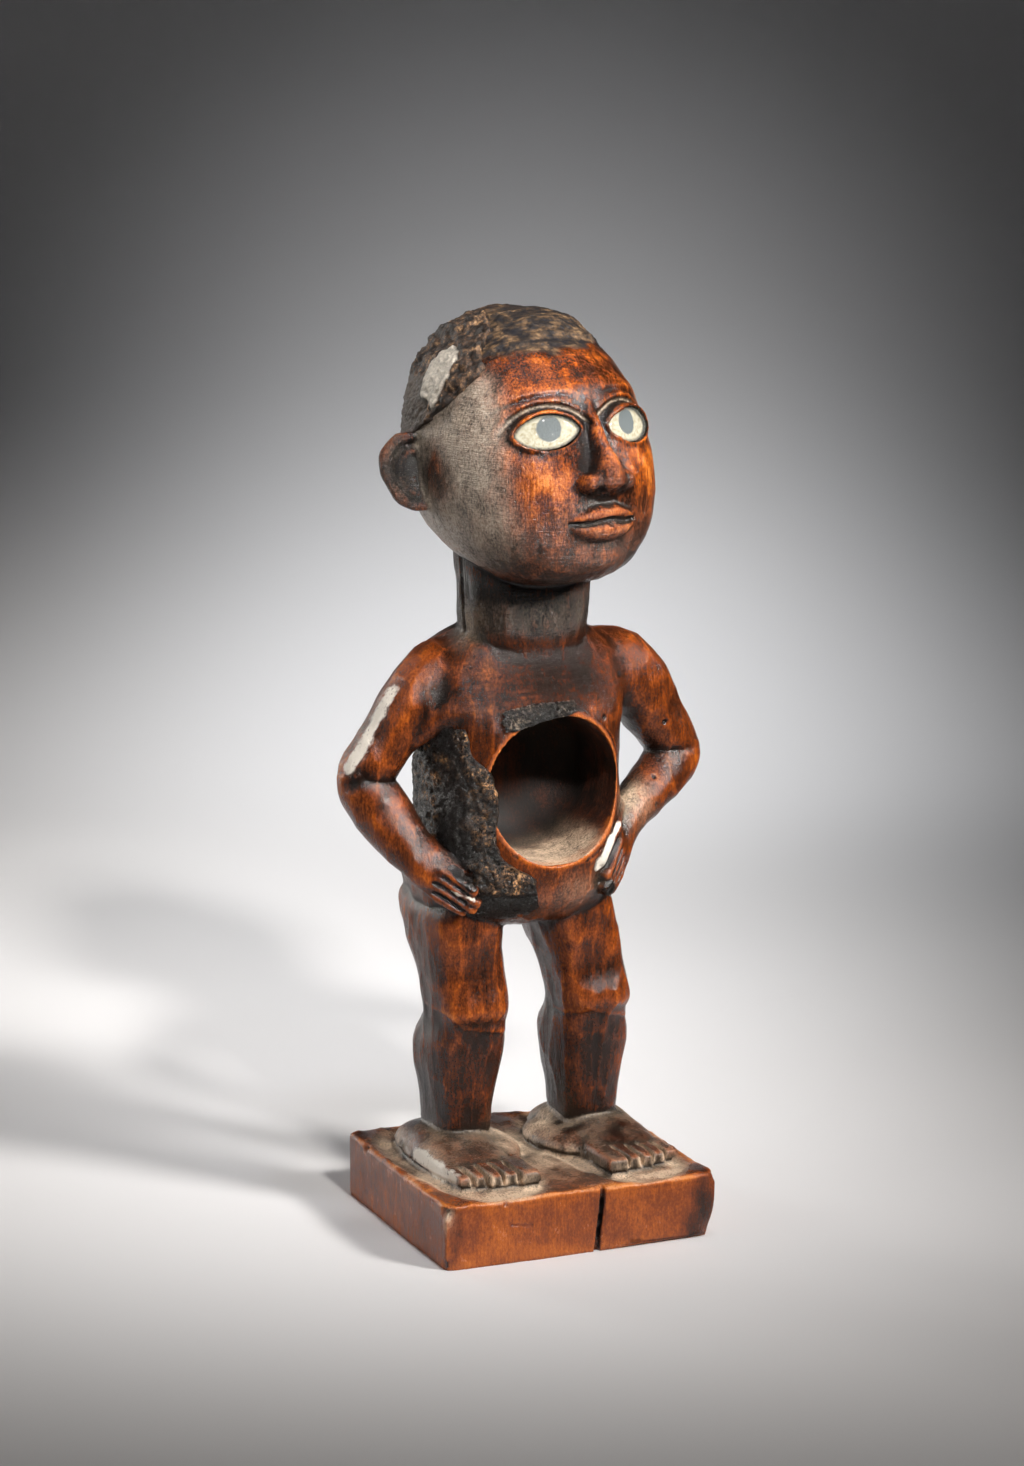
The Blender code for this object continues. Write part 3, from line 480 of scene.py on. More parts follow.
def bell(points, centre, widths):
    """A bell curve of the distance from a centre, with its own width each way."""
    return np.exp(-(((points - np.asarray(centre, float)) / widths) ** 2).sum(-1))


def bells(points, rows):
    """The sum of bell curves, from rows of a centre, widths and a height."""
    return sum(gain * bell(points, centre, widths) for centre, widths, gain in rows)


# Forms of the skull: on its crown, on its middle line, which are the chin, the dip over it and the bridge between
# the eyes, and on each side, which are the eye's hollow, the brow, the cheek and the dip beside the mouth
CROWN_FORMS = [((14, -8, 32), (9, 13, 7), 2.4), ((4, -14, 33), (8, 8, 6), 0.8), ((-17, 5, 30), (11, 17, 10), -2.6)]
MIDDLE_FORMS = [
    ((0, -26, -33), (8, 10, 4.5), 1.5), ((0, -31, -29.5), (8, 10, 1.8), -0.9), ((0, -33, 3.5), (4, 10, 5), -0.8)
]
SIDE_FORMS = [
    ((12.5, -30, 4.5), (10, 14, 5.5), -1.3), ((13, -27, 11.5), (11, 14, 3.5), 0.9),
    ((16, -26, -9), (8, 12, 6), 1.2), ((15.5, -26, -21), (4, 10, 7), -0.5),
]


def skull():
    """The head without its features: sections from crown to chin, with hollows for the eyes and full cheeks."""
    angles = np.radians(np.arange(0, 360, 2.5))
    places = np.linspace(0.015, 0.985, 110)
    grid = np.stack([head_surface(np.full(len(angles), row), angles) for row in places])
    lift = bells(grid, CROWN_FORMS + MIDDLE_FORMS) + bells(grid, SIDE_FORMS) + bells(grid * (-1, 1, 1), SIDE_FORMS)
    tips = [on_head(head_surface(end, np.array([0.0])))[0] for end in (0.0, 1.0)]
    return skin(on_head(off_the_heart(grid, lift[..., None])), tips)


def features():
    """The nose with its wings, and the lips, which thin towards the corners of the mouth."""
    made = []
    angle = full_turn(28)
    rings = []
    for height, half, ahead in through(NOSE, 40):
        side, front = around(angle, half, ahead + 3, 3, 2.0)
        rings.append(np.stack([side, 3 - face_front(height) - front, np.full(28, height)], -1))
    made.append(skin(on_head(rings)))
    for side in (-1, 1):
        place = on_head((side * 5.3, -face_front(-13.6) - 1.2, -13.6))
        made.append(ball(place, (3.2, 4.0, 2.7), HEAD_TURN))
    for height, half, ahead in LIPS:
        rings = []
        for share in np.linspace(-1, 1, 71):
            swell = (1.004 - share**2) ** 0.62
            bow = 0.5 * hump(abs(share), 0.22, 0.12) * (height > MOUTH_LEVEL)
            x, z = share * LIP_HALF_WIDTH, (height - MOUTH_LEVEL) * swell + MOUTH_LEVEL
            y = 1.1 + 1.6 * share**4 - face_front(z, x)
            rise, front = around(angle, half * swell + bow, ahead * swell + 1.2, 2, 2.0)
            rings.append(np.stack([np.full(28, x), y - front, z + rise], -1))
        made.append(skin(on_head(rings)))
    return made


def base_block():
    """The block under the feet: its outline drawn in from the edges by their rounding, level by level."""
    share = np.linspace(0, 1, 40, endpoint=False)[:, None]
    outline = np.concatenate([a + (b - a) * share for a, b in zip(BASE_PLAN, np.roll(BASE_PLAN, -1, axis=0))])
    levels = [(0.985, -BASE_TOP), (1, -BASE_TOP + 0.7), (1, -0.9), (0.994, -0.3), (0.98, 0)]
    return skin([np.column_stack([outline * shrink, np.full(len(outline), level)]) for shrink, level in levels])


def trunk_sections():
    """Sections of the trunk from the crotch to the foot of the neck."""
    torso = through(TORSO, 80)
    return np.column_stack([sway(torso[:, 0]), np.full(80, BODY_MIDDLE[1]), torso])


shells = [limb(trunk_sections(), 120, BODY_SQUARE, heading=UNIT_UP), limb(through(NECK, 40), 72, heading=UNIT_UP)]
for leg, side in enumerate((-1, 1)):
    rows = [(side * out[leg][0], y, z, out[leg][1], ahead, behind) for y, z, ahead, behind, *out in LEGS]
    rows = through(rows, 70)
    rows[:, 0] += sway(rows[:, 2])
    shells.append(limb(rows, 56, LEG_SQUARE, heading=UNIT_UP))
    # A buttock, then the foot, the ear and the raised lids round the eye
    shells.append(ball((side * 13 + sway(79.0), 14.5, 79), (14.5, 20.5, 18), sides=48))
    shells += foot(side) + ear(side)
    shells.append(almond(side, [(1.3, -3), (1.35, 0.4), (1.1, 1.0), (0.65, 1.3), (0.15, 1.15)]))
for arm in RIGHT_ARM + LEFT_ARM:
    shells.append(limb(through(arm, 40), 44))
fold = through(ARM_FOLD, 40)
shells.append(limb(np.hstack([fold, fold[:, 3:], fold[:, 3:]]), 24))
shells += hand(RIGHT_HAND, []) + hand(LEFT_HAND, LEFT_THUMB) + features() + [skull(), base_block()]


def joined(name, parts, shift):
    """One object of several bodies, moved up by a shift."""
    starts = np.cumsum([0] + [len(points) for points, _ in parts[:-1]])
    points = np.concatenate([points for points, _ in parts]) + (0, 0, shift)
    faces = [[int(start) + corner for corner in face] for start, (_, part) in zip(starts, parts) for face in part]
    return mesh_object(name, points, faces)


def settle(made):
    """Apply an object's modifiers to its mesh."""
    mesh = bpy.data.meshes.new_from_object(made.evaluated_get(bpy.context.evaluated_depsgraph_get()))
    made.modifiers.clear()
    old = made.data
    made.data = mesh
    bpy.data.meshes.remove(old)


def remesh(made, size):
    """Rebuild the mesh as small even faces of a size in millimetres, which melts overlapping bodies together."""
    step = made.modifiers.new("even faces", "REMESH")
    step.mode = "VOXEL"
    step.voxel_size = size / 1000
    step.adaptivity = 0
    settle(made)


def face_outwards(made):
    """Turn every face of an object's mesh outwards."""
    work = bmesh.new()
    work.from_mesh(made.data)
    bmesh.ops.recalc_face_normals(work, faces=work.faces)
    work.to_mesh(made.data)
    work.free()


def hollow():
    """The belly's hollow: a turned cutter, straight and then rounded at its inner end, and not quite even."""
    turns = np.radians(np.linspace(0, 90, 14))
    straight = [(CAVITY_WIDTH / 2, depth) for depth in np.linspace(12, CAVITY_ROUNDING - CAVITY_DEPTH, 26)]
    narrowing = CAVITY_WIDTH / 2 - CAVITY_ROUNDING * (1 - np.cos(turns))
    end = np.column_stack([narrowing, CAVITY_ROUNDING * (1 - np.sin(turns)) - CAVITY_DEPTH])
    profile = np.concatenate([straight, end[1:]])
    angle = full_turn(120)
    radius = profile[:, :1] + 0.25 * np.sin(3 * angle + 1) + 0.07 * np.sin(8 * angle + 0.1 * profile[:, 1:])
    x, z = radius * np.cos(angle), radius * np.sin(angle) * CAVITY_HEIGHT / CAVITY_WIDTH
    return skin(CAVITY_MOUTH + np.stack([x, -profile[:, 1:] + 0 * x, z], -1))


def slot(start, end, width, depth, way):
    """A tapering crack from a start to an end on the surface, its depth going the way given."""
    start, end, way = (np.array(item, float) for item in (start, end, way))
    share = np.linspace(0, 1, 12)[:, None]
    sideways = unit(np.cross(end - start, way))
    spine = start + (end - start) * share + 0.12 * width * np.sin(share * 9 + start[:1]) * sideways
    across = sideways * width / 2
    swell = np.sqrt(np.clip(1.02 - (2 * share - 1) ** 4, 0, 1))
    corners = [spine + across * swell - way * 1.5, spine + across * swell, spine + way * depth * swell]
    corners += [spine - across * swell, spine - across * swell - way * 1.5]
    return skin(np.stack(corners, axis=1))


FACE_SIZE = 0.45
MOST_TRIANGLES = 196000
# Beetle holes: place in the world and radius
HOLES = [
    ((16.2, -12.3, 140.4), 0.8), ((19.5, -9.1, 148.5), 0.6), ((41.3, 1.2, 134.3), 0.75),
    ((37.3, -0.3, 119.6), 0.75), ((36.7, -2.8, 112.6), 0.65), ((-23.7, -36.5, 16.9), 1),
]
# Drying cracks in the base: start, end, width, depth and the way into the wood
CRACKS = [
    ((4.9, -38.4, 26), (2.3, -38.2, -8), 1.7, 6, (0, 1, 0)),
    ((-38.6, 7, 17), (-38.9, 8, 2), 0.5, 4, (1, 0, 0)),
    ((40.3, 20, 18.1), (41.5, 20, 9), 0.8, 5, (-1, 0, 0)),
]
toe_edges = FOOT[-1][0] + FOOT[-1][3] - np.cumsum(TOE_WIDTHS)[:-1]
# From the figure's own heights to the world's
raised = np.array([0, 0, BASE_TOP])

figure = joined("carved_figure", shells, BASE_TOP)
remesh(figure, FACE_SIZE)
cuts = [hollow()]
for side in (-1, 1):
    # The eye's seat and the nostril
    points, faces = almond(side, [(0.25, -1.7), (0.25, 4)])
    cuts.append((points + raised, faces))
    nostril = on_head((side * 3.4, -face_front(-15.8) - 3.2, -16.6)) + raised
    cuts.append(ball(nostril, (1.5, 2.2, 1.9), HEAD_TURN, sides=20))
cuts += [ball(place, (radius, radius, radius), sides=16) for place, radius in HOLES]
cuts += [slot(*crack) for crack in CRACKS]
for side in (-1, 1):
    for i, x in enumerate(toe_edges):
        back, front = (-x * side, -16.8 + 0.5 * i, BASE_TOP + 5.0), (-x * side * 1.01, -36.0, BASE_TOP + 4.4)
        cuts.append(slot(back, front, TOE_GAP, 6.0, (0, 0, -1)))
for place in (RIGHT_HAND, LEFT_HAND):
    knuckles, reach, across, out = hand_frame(place)
    for i in range(3):
        line = knuckles + across * FINGER_SPACING * (1 - i) + raised + out * 2.2
        cuts.append(slot(line - reach * 0.15, line + reach * 1.35, 1.2, 3.2, -out))
cutter = joined("cutter", cuts, 0)
face_outwards(cutter)
step = figure.modifiers.new("cuts", "BOOLEAN")
step.operation, step.solver, step.object = "DIFFERENCE", "MANIFOLD", cutter
settle(figure)
bpy.data.objects.remove(cutter, do_unlink=True)
remesh(figure, FACE_SIZE)


def read_mesh(mesh):
    """A mesh's points in millimetres, its normals and its edges."""
    points = np.empty(len(mesh.vertices) * 3)
    mesh.vertices.foreach_get("co", points)
    normals = np.empty(len(mesh.vertices) * 3)
    mesh.vertex_normals.foreach_get("vector", normals)
    edges = np.empty(len(mesh.edges) * 2, np.int64)
    mesh.edges.foreach_get("vertices", edges)
    return points.reshape(-1, 3) * 1000, normals.reshape(-1, 3), edges.reshape(-1, 2)


def eased(values, edges, rounds):
    """Values moved half the way to the mean of their neighbours along the edges, several times over."""
    count = len(values)
    degree = np.maximum(np.bincount(edges.ravel(), minlength=count), 1)
    columns = [np.array(column, float) for column in values.reshape(count, -1).T]
    for _ in range(rounds):
        for i, column in enumerate(columns):
            total = np.bincount(edges[:, 0], column[edges[:, 1]], count)
            total += np.bincount(edges[:, 1], column[edges[:, 0]], count)
            columns[i] = column + 0.5 * (total / degree - column)
    return np.stack(columns, axis=1).reshape(values.shape)


def softened(points, edges, rounds, share):
    """Points eased over a number of rounds, as far as each one's share says."""
    return points + (eased(points, edges, rounds) - points) * share[:, None]


def proud_of(points, normals, edges, rounds):
    """How far points stand out of their eased surface."""
    return ((points - eased(points, edges, rounds)) * normals).sum(-1)


def scatter(cells, seed):
    """A repeatable number from 0 to 1 for each whole cell, by multiplying and mixing its three counts."""
    mixed = cells[..., 0] * 73856093 ^ cells[..., 1] * 19349663 ^ cells[..., 2] * 83492791 ^ seed * 265443576
    mixed = (mixed ^ (mixed >> 13)) * 127412617 & 0x7FFFFFFF
    return ((mixed ^ (mixed >> 15)) % 65521) / 65521


def cloudy(points, size, seed):
    """Smooth noise from -1 to 1: the numbers at a cell's eight corners, blended across the cell."""
    place = points / size
    cell = np.floor(place).astype(np.int64)
    t = place - cell
    t = t * t * (3 - 2 * t)
    total = np.zeros(len(points))
    for corner in np.ndindex(2, 2, 2):
        weight = np.prod(np.where(corner, t, 1 - t), axis=1)
        total += weight * scatter(cell + np.array(corner), seed)
    return total * 2 - 1


def cups(points, size, seed):
    """Tool cuts: the squared distance to the nearest of many scattered middles, 0 in a cut and about 1 on a ridge."""
    place = points / size
    cell = np.floor(place).astype(np.int64)
    nearest = np.full(len(points), 9.0)
    for step in np.ndindex(3, 3, 3):
        other = cell + np.array(step) - 1
        middle = other + np.stack([scatter(other, seed + k) for k in (0, 7, 19)], axis=-1)
        nearest = np.minimum(nearest, ((place - middle) ** 2).sum(-1))
    return np.minimum(nearest, 1.0)


def ramp(values, low, high):
    """0 below a low value, 1 above a high one, and a smooth rise between."""
    t = np.clip((values - low) / (high - low), 0, 1)
    return t * t * (3 - 2 * t)


def near_line(points, start, end):
    """The distance from points to a straight stretch."""
    start, way = np.array(start, float), np.array(end, float) - start
    share = np.clip((points - start) @ way / (way @ way), 0, 1)
    return np.linalg.norm(points - start - share[:, None] * way, axis=-1)


def eye_margin(head, side):
    """Roughly how far points of the head lie outside an eye's outline, and how far above its middle."""
    middle, across, _ = eye_frame(side)
    x, z = (head - middle) @ across, head[:, 2] - middle[2]
    spread = (x / (EYE_WIDTH / 2)) ** 2 + (np.abs(z) / (EYE_HEIGHT / 2)) ** 1.48
    return np.where(head[:, 1] < -8, (np.sqrt(spread) - 1) * 6.2, 50), z


def off_hollow(points):
    """Points from the middle of the hollow's mouth, flattened until the mouth is round, and how far out they lie."""
    off = points - CAVITY_MOUTH
    return off, np.hypot(off[:, 0], off[:, 2] * CAVITY_WIDTH / CAVITY_HEIGHT)


def inside_hollow(points, reach):
    """1 for points inside the belly's hollow and 0 elsewhere; the reach is its radius with a little over."""
    off, out = off_hollow(points)
    return ((out < reach) & (off[:, 1] > 0.8) & (off[:, 1] < CAVITY_DEPTH + 3)).astype(float)


def above_knee(points):
    """How far points lie over the line that the knife left under each knee."""
    right = np.interp(points[:, 0], (-27, -22, -8), (61.0, 56.3, 53.5))
    left = np.interp(points[:, 0], (10, 16, 28), (56.5, 57.5, 54.0))
    return points[:, 2] - np.where(points[:, 0] < 0, right, left)


def foot_ring(points, side):
    """A rounded oval round a foot: 1 at its edge and less inside."""
    return np.abs((points[:, 0] - side * 21) / 13) ** 2.6 + np.abs((points[:, 1] + 0.5) / 29.5) ** 2.6


def crown_of(points, head):
    """1 over the bared, streaked top of the head and 0 below its ragged edge."""
    edge = head[:, 2] - 22.6 + 1.5 * cloudy(points, 5.0, 71) + 1.0 * cloudy(points, (2.6, 1.2, 1.2), 72)
    return ramp(edge, -0.6, 1.8)


def collar_of(points):
    """1 over the collar bones, falling off round them."""
    return bell(points, (2, -9, 150), (24, 12, 9))


def regions(points):
    """Shares from 0 to 1 that say which part of the figure points belong to, their places on the head, and their
    heights over the base."""
    height = points[:, 2] - BASE_TOP
    head = (points - (0, 0, BASE_TOP) - HEAD_MIDDLE) @ HEAD_TURN
    on = {"base": 1 - ramp(height, -0.6, 0.4), "plate": 1 - ramp(height, 0.8, 1.6)}
    inside_ball = 37 - np.linalg.norm(head * (1.1, 0.95, 0.9) - (0, -1, 0), axis=-1)
    on["head"] = ramp(inside_ball, -6, 4) * ramp(height, 150, 160)
    on["neck"] = ramp(height, 143, 150) * (1 - on["head"])
    on["legs"] = ramp(height, 10, 14) * (1 - ramp(height, 66, 72)) * (np.abs(points[:, 0]) < 32)
    on["feet"] = ramp(height, 0.6, 1.6) * (1 - ramp(height, 10, 14))
    return on, head, height


# Where the bodies' seams are eased most: centre, widths and share
SOFT_JOINTS = [
    ((0, -11, 154), (22, 11, 8), 1.3), ((-24, -1, 149), (9, 14, 11), 1.3),
    ((26, -1, 152), (8, 14, 12), 1.3), ((-30, -3, 101), (7, 7, 6), 1.3),
]
# Chips and the knot at the elbow: place, radius and depth
CHIPS = [
    ((-41.2, -36, 17), 3.2, 1.5), ((-38.5, 25.1, 17.6), 2.4, 1.7), ((-49.6, 6.5, 124.3), 3.2, 0.8),
    ((-41, -36, 1), 3, 0.9), ((38, -37.9, 17.8), 2.8, 0.8), ((24.1, -5.3, 150.2), 1.2, 0.4),
]

points, normals, edges = read_mesh(figure.data)
on, head, height = regions(points)
in_hollow = inside_hollow(points, 21)
# Voxel steps are eased a little all over, more round the nose and mouth, and most at the bodies' seams
points = softened(points, edges, 2, 1 - 0.8 * on["feet"])
points = softened(points, edges, 30, bell(head, (0, -36, -10), (9, 9, 7)) ** 0.5)
points = softened(points, edges, 70, np.clip(bells(points, SOFT_JOINTS), 0, 1) * (1 - in_hollow))
(x, y, z), (hx, hy, hz) = points.T, head.T
body = (1 - on["base"]) * (1 - on["head"]) * (1 - on["feet"]) * (1 - 0.8 * in_hollow)
collar = collar_of(points) * body
flat = on["plate"] * ramp(height, -1.2, -0.4)
block_sides = on["base"] * (1 - flat)
lift = np.zeros(len(points))
# Swells and ripples in the wood: size, seed and strength
for size, seed, strength in (
    (11, 3, 0.22),
    (4.5, 5, 0.10),
    ((6, 3, 0.9), 16, 0.1 * (collar + 0.6 * on["neck"] * ramp(x, 0, 8))),
    (17, 17, 0.3 * flat),
    ((1.3, 1.3, 9), 21, 0.05 * block_sides),
    ((7, 7, 14), 22, 0.08 * block_sides),
):
    lift += strength * cloudy(points, size, seed)
# Cuts of the knife and the adze: size, seed, the level that the skin keeps, and strength
for size, seed, level, strength in (
    ((6, 6, 13), 11, 0.35, (0.75 - 0.45 * collar) * body),
    ((3, 3, 14), 12, 0.35, 0.45 * (on["neck"] + 0.7 * on["legs"])),
    ((4.5, 4.5, 7), 13, 0.35, 0.32 * on["head"]),
    ((3.2, 4.4, 3.2), 14, 0.35, 0.14 * on["feet"]),
    ((3.4, 5.5, 30), 15, 0.45, 0.28 * flat),
):
    lift += (cups(points, size, seed) - level) * strength
# The base's worn top edge
lift -= 0.15 * np.abs(cloudy(points, 4.0, 31)) * (np.abs(height + 0.6) < 1.6) * (1 - flat)
for side in (-1, 1):
    # The trough round a foot, the double line over an eye, and the brow's line
    lift -= 0.8 * flat * hump(foot_ring(points, side), 1.35, 0.45)
    margin, above = eye_margin(head, side)
    lift += (0.20 * hump(margin, 3.6, 0.7) - 0.28 * hump(margin, 2.4, 0.6)) * ramp(above, -0.5, 1.5)
    out = side * hx
    brow = hz - (10.8 - 0.018 * (np.abs(out) - 11) ** 2)
    lift -= 0.32 * hump(brow, 0, 0.8) * ramp(out, 2, 6) * (1 - ramp(out, 21, 25)) * (hy < -8) * on["head"]
# The groove under the nose, and the parting of the lips
lift -= 0.5 * hump(hx, 0, 1.5) * bell(head, (0, -36, -18.6), (9, 9, 1.6))
parting = hz + 23.75 - 0.35 * np.cos(hx * 0.55)
lift -= 0.8 * hump(parting, 0, 0.55) * (np.abs(hx) < 10.6) * (hy < -20) * on["head"]
for place, radius, depth in CHIPS:
    away = np.linalg.norm(points - np.array(place), axis=-1) / radius
    lift -= depth * np.clip(1 - away**2, 0, 1) ** 1.5 * (1 + 0.12 * cloudy(points, 1.4, 41))
# The step under each knee, then the bared crown's streaks and the lump on it
over_knee = above_knee(points)
front_of_legs = (y < 8) * on["legs"]
lift += (0.14 * ramp(over_knee, -0.5, 0.5) - 0.07) * hump(over_knee, 0, 4) * front_of_legs
crown = crown_of(points, head) * on["head"]
lift += crown * (0.30 * cloudy(points, (7.0, 2.2, 2.2), 18) + 0.18 * cloudy(points, 1.3, 19) - 0.10)
lift += 1.0 * bell(head, (13, -15, 27), (5, 3, 2)) * (1 + 0.5 * cloudy(points, 1.5, 20))
# The neck's drying crack and a scratch on the base: start, end, width and depth
for start, end, width, depth in (
    ((-16.8, 3.4, 163), (-17.8, 4.4, 184), 0.8, 0.9),
    ((-22.5, -36.5, 10.7), (-16.4, -36.6, 9.9), 0.35, 0.3),
):
    lift -= depth * hump(near_line(points, start, end), 0, width)
points = points + normals * lift[:, None]
# Ridges and grooves are sharpened
crisp = np.clip(proud_of(points, normals, edges, 6) * 0.9, -0.45, 0.45)
points = points + normals * crisp[:, None] * (1 - 0.7 * on["base"])[:, None]
# The base's front left corner is worn back, its underside is cut flat, and its front edge is off the ground
points += bell(points, (38.6, -38.2, 0), (4, 4, 6))[:, None] * (-1.8, 1.8, 0)
under = (points[:, 2] < 0.9) & (normals[:, 2] < -0.5)
points[:, 2] = np.where(under, 0.0, np.maximum(points[:, 2], 0.0))
points[:, 2] += 0.9 * ramp(points[:, 0], -5, 25) * ramp(-points[:, 1], 35.5, 38) * (points[:, 2] < 0.9)
# The carving stays inside the CAD model's box
points = np.clip(points, np.array(cad_box[0]) * 1000 + (0.05, 0.05, 0), np.array(cad_box[1]) * 1000 - 0.05)
figure.data.vertices.foreach_set("co", (points / 1000).ravel())
figure.data.update()
thin = figure.modifiers.new("fewer faces", "DECIMATE")
thin.ratio = min(1.0, MOST_TRIANGLES / (2 * len(figure.data.polygons)))
settle(figure)
smooth_faces(figure.data)

SHADE_REACH = 14.0
GOLDEN_ANGLE = 2.39996


def shaded(mesh, points, normals, reach, rays):
    """How closed in each point is: the share of spread rays that meet the mesh again, weighted by nearness."""
    tree = BVHTree.FromPolygons(points.tolist(), [tuple(face.vertices) for face in mesh.polygons])
    turn = np.arange(rays) * GOLDEN_ANGLE
    rise = 0.25 + 0.75 * (np.arange(rays) + 0.5) / rays
    flat = np.sqrt(1 - rise**2)
    side = unit(np.cross(normals, np.where(np.abs(normals[:, 2:]) < 0.9, UNIT_UP, FRONT)))
    other = np.cross(normals, side)
    closed = np.zeros(len(points))
    starts = points + normals * 0.15
    for k in range(rays):
        ways = normals * rise[k] + (side * np.cos(turn[k]) + other * np.sin(turn[k])) * flat[k]
        hits = [tree.ray_cast(start, way, reach)[3] for start, way in zip(starts.tolist(), ways.tolist())]
        far = np.array([reach if hit is None else hit for hit in hits])
        closed += (1 - far / reach) * rise[k]
    return closed / rise.sum()


def write_shares(mesh, name, values):
    """Keep a number from 0 to 1 at each point of a mesh, for its material."""
    layer = mesh.attributes.new(name, "FLOAT", "POINT")
    layer.data.foreach_set("value", np.clip(values, 0, 1).astype(np.float32))


# Rubbed places and painted light by the shaded nose on the face, and dark stains on the wood: centre, widths and
# strength
RUBBED_AND_PAINTED_LIGHT = [
    ((0, -42, -12), (7, 7, 6), 0.50), ((0, -34, -26), (10, 9, 5), 0.50), ((0, -37, -23.5), (10, 6, 4), 0.34),
    ((-16, -26, -13), (8, 10, 8), 0.30), ((16, -26, -13), (8, 10, 8), 0.26), ((0, -28, -34), (9, 8, 6), 0.22),
    # The last is painted light on the side of the nose, where its shadow falls
    ((7, -30, 15), (8, 12, 7), 0.30), ((-9, -31, -8), (5, 8, 7), 0.36),
]
STAINS = [
    ((35, -38, 10), (3.5, 4, 7), 0.70), ((0, -12, 160), (18, 8, 6), 0.25), ((31, -38, 3), (3, 4, 3), 0.35),
    ((24, -38, 10), (13, 4, 9), 0.12), ((38, -37, 3), (4, 5, 2), 0.12), ((-38.5, -36, 9), (2.2, 3, 9), 0.30),
    ((3.5, -38, 10), (2.5, 4, 10), 0.18), ((-38, 24, 18), (9, 10, 2), 0.30), ((-47, 4, 126), (5, 5, 3.5), 0.40),
    ((-22, -4, 150), (9, 6, 3), 0.25),
]
# Pale scrapes down to bare wood on the arm and the foot, painted highlights on the thumb and a finger: start, end and
# radius
SCRAPES_AND_HIGHLIGHTS = [
    ((-38.1, 5.6, 148.3), (-49.4, 7.3, 128.6), 1.6), ((21.5, -10.6, 110), (18.1, -13.4, 107.1), 0.8),
    ((18.1, -13.4, 107.1), (13.9, -15, 100.4), 1.25), ((-33, 1, 21.5), (-32.5, -21, 20), 1.8),
    ((-29.7, -7.2, 110.6), (-23.2, -14.1, 98.6), 0.55), ((-28.6, -10.4, 96.6), (-23.2, -14.6, 94.6), 0.27),
]

points, normals, edges = read_mesh(figure.data)
on, head, height = regions(points)
(x, y, z), (hx, hy, hz) = points.T, head.T
far_out = np.abs(hx)
# What the colours follow: how closed in and how proud a point is, clouds, and the hollow with its rim
shade = eased(shaded(figure.data, points, normals, SHADE_REACH, 12), edges, 3)
proud, broad = (proud_of(points, normals, edges, rounds) for rounds in (10, 60))
clouds = cloudy(points, 9.0, 51) * 0.6 + cloudy(points, 3.5, 52) * 0.4
deep = inside_hollow(points, 20.6)
off, out = off_hollow(points)
rim = hump(np.abs(out - CAVITY_WIDTH / 2), 0, 0.8) * (off[:, 1] < 6) * (np.abs(off[:, 2]) < 22)
by_nose = bell(head, (-7, -31, -6), (6, 8, 9))

# Tone: 0 near black, 1 pale orange. It rises where the wood is rubbed, and painted shade sinks it where it is closed
# in
tone = 0.34 - 0.06 * on["head"] + (0.12 + 0.22 * on["head"]) * clouds
tone += 0.34 * on["base"] - 0.28 * on["neck"] - 0.02 * on["legs"]
tone += np.clip(proud * 0.9, -0.35, 0.25) * (1 - 0.6 * on["base"])
tone += np.clip(broad * 0.12, -0.15, 0.18) * (1 - on["base"])
tone += 0.04 * on["head"] * ramp(-hy, 14, 24)
# Rubbed places, and painted light beside the nose
tone += bells(head, RUBBED_AND_PAINTED_LIGHT) * (0.7 + 0.6 * clouds) * on["head"]
over_knee = above_knee(points)
tone += 0.20 * hump(over_knee, 0.7, 0.7) * (y < 8) * on["legs"]
tone += on["legs"] * (0.19 * ramp(over_knee, -8, 12) - 0.09)
toe_ends = ramp(-normals[:, 1], 0.6, 0.9) * ramp(-y, 24, 28)
tone -= on["feet"] * (0.10 + 0.30 * toe_ends)
tone -= bells(points, STAINS) * (0.7 + 0.5 * clouds)
# Painted shade: darker where rays from the surface meet the carving again, less in the hollow, on the legs and by the
# nose
tone -= (0.75 - 0.25 * on["legs"] - 0.40 * deep) * (1 - 0.7 * by_nose) * shade
# More painted shade in the ear's hollows
tone -= 0.20 * on["head"] * ramp(far_out, 29.5, 31) * ramp(shade, 0.05, 0.2)
tone += 0.06 * deep - 0.16 * collar_of(points)
lids = [eye_margin(head, side) for side in (-1, 1)]
for margin, _ in lids:
    tone -= 0.10 * hump(margin, 0.8, 0.7) * on["head"]
# The base's rubbed edges, and painted shade on its side that faces -X
edge = hump(height, -0.5, 0.6) * ramp(np.maximum(np.abs(x) - 34, np.abs(y) - 33), 0, 3)
tone += 0.40 * edge * (0.7 + 0.8 * clouds) - 0.10 * on["base"] * ramp(-normals[:, 0], 0.5, 0.9)
# The hollow's rim is pale orange: worn, and with a painted highlight where it catches the light
tone = tone + rim * (0.80 - tone) * 0.9

# Dust: round the feet and between the toes, on the hollow's floor, over the eyes and in a few corners
dust = np.zeros(len(points))
flat = on["plate"] * ramp(height, -1.6, -0.6) * ramp(normals[:, 2], 0.3, 0.8)
for side in (-1, 1):
    mound = bell(points, (side * 18, 6, BASE_TOP + 2), (19, 18, 7)) * ramp(normals[:, 2], -0.1, 0.3) * (height < 11)
    mound *= 1 - 0.8 * bell(points, (side * 22, -12, BASE_TOP + 8), (10, 14, 6))
    dust += (1.4 * flat + 0.25 * on["feet"]) * hump(foot_ring(points, side), 1.3, 0.45) * (0.75 + 0.8 * clouds)
    dust += 1.25 * mound * (0.55 + 1.1 * clouds)
    for place in toe_edges:
        gap = hump(x, -place * side, 0.8) * ramp(-y, 16, 19) * (1 - ramp(height, 3.4, 4.8))
        dust += 1.3 * gap * on["feet"]
hollow_floor = ramp(normals[:, 2], 0.45, 0.75) * ramp(-z, -111, -104) * ramp(-y, -16, 4)
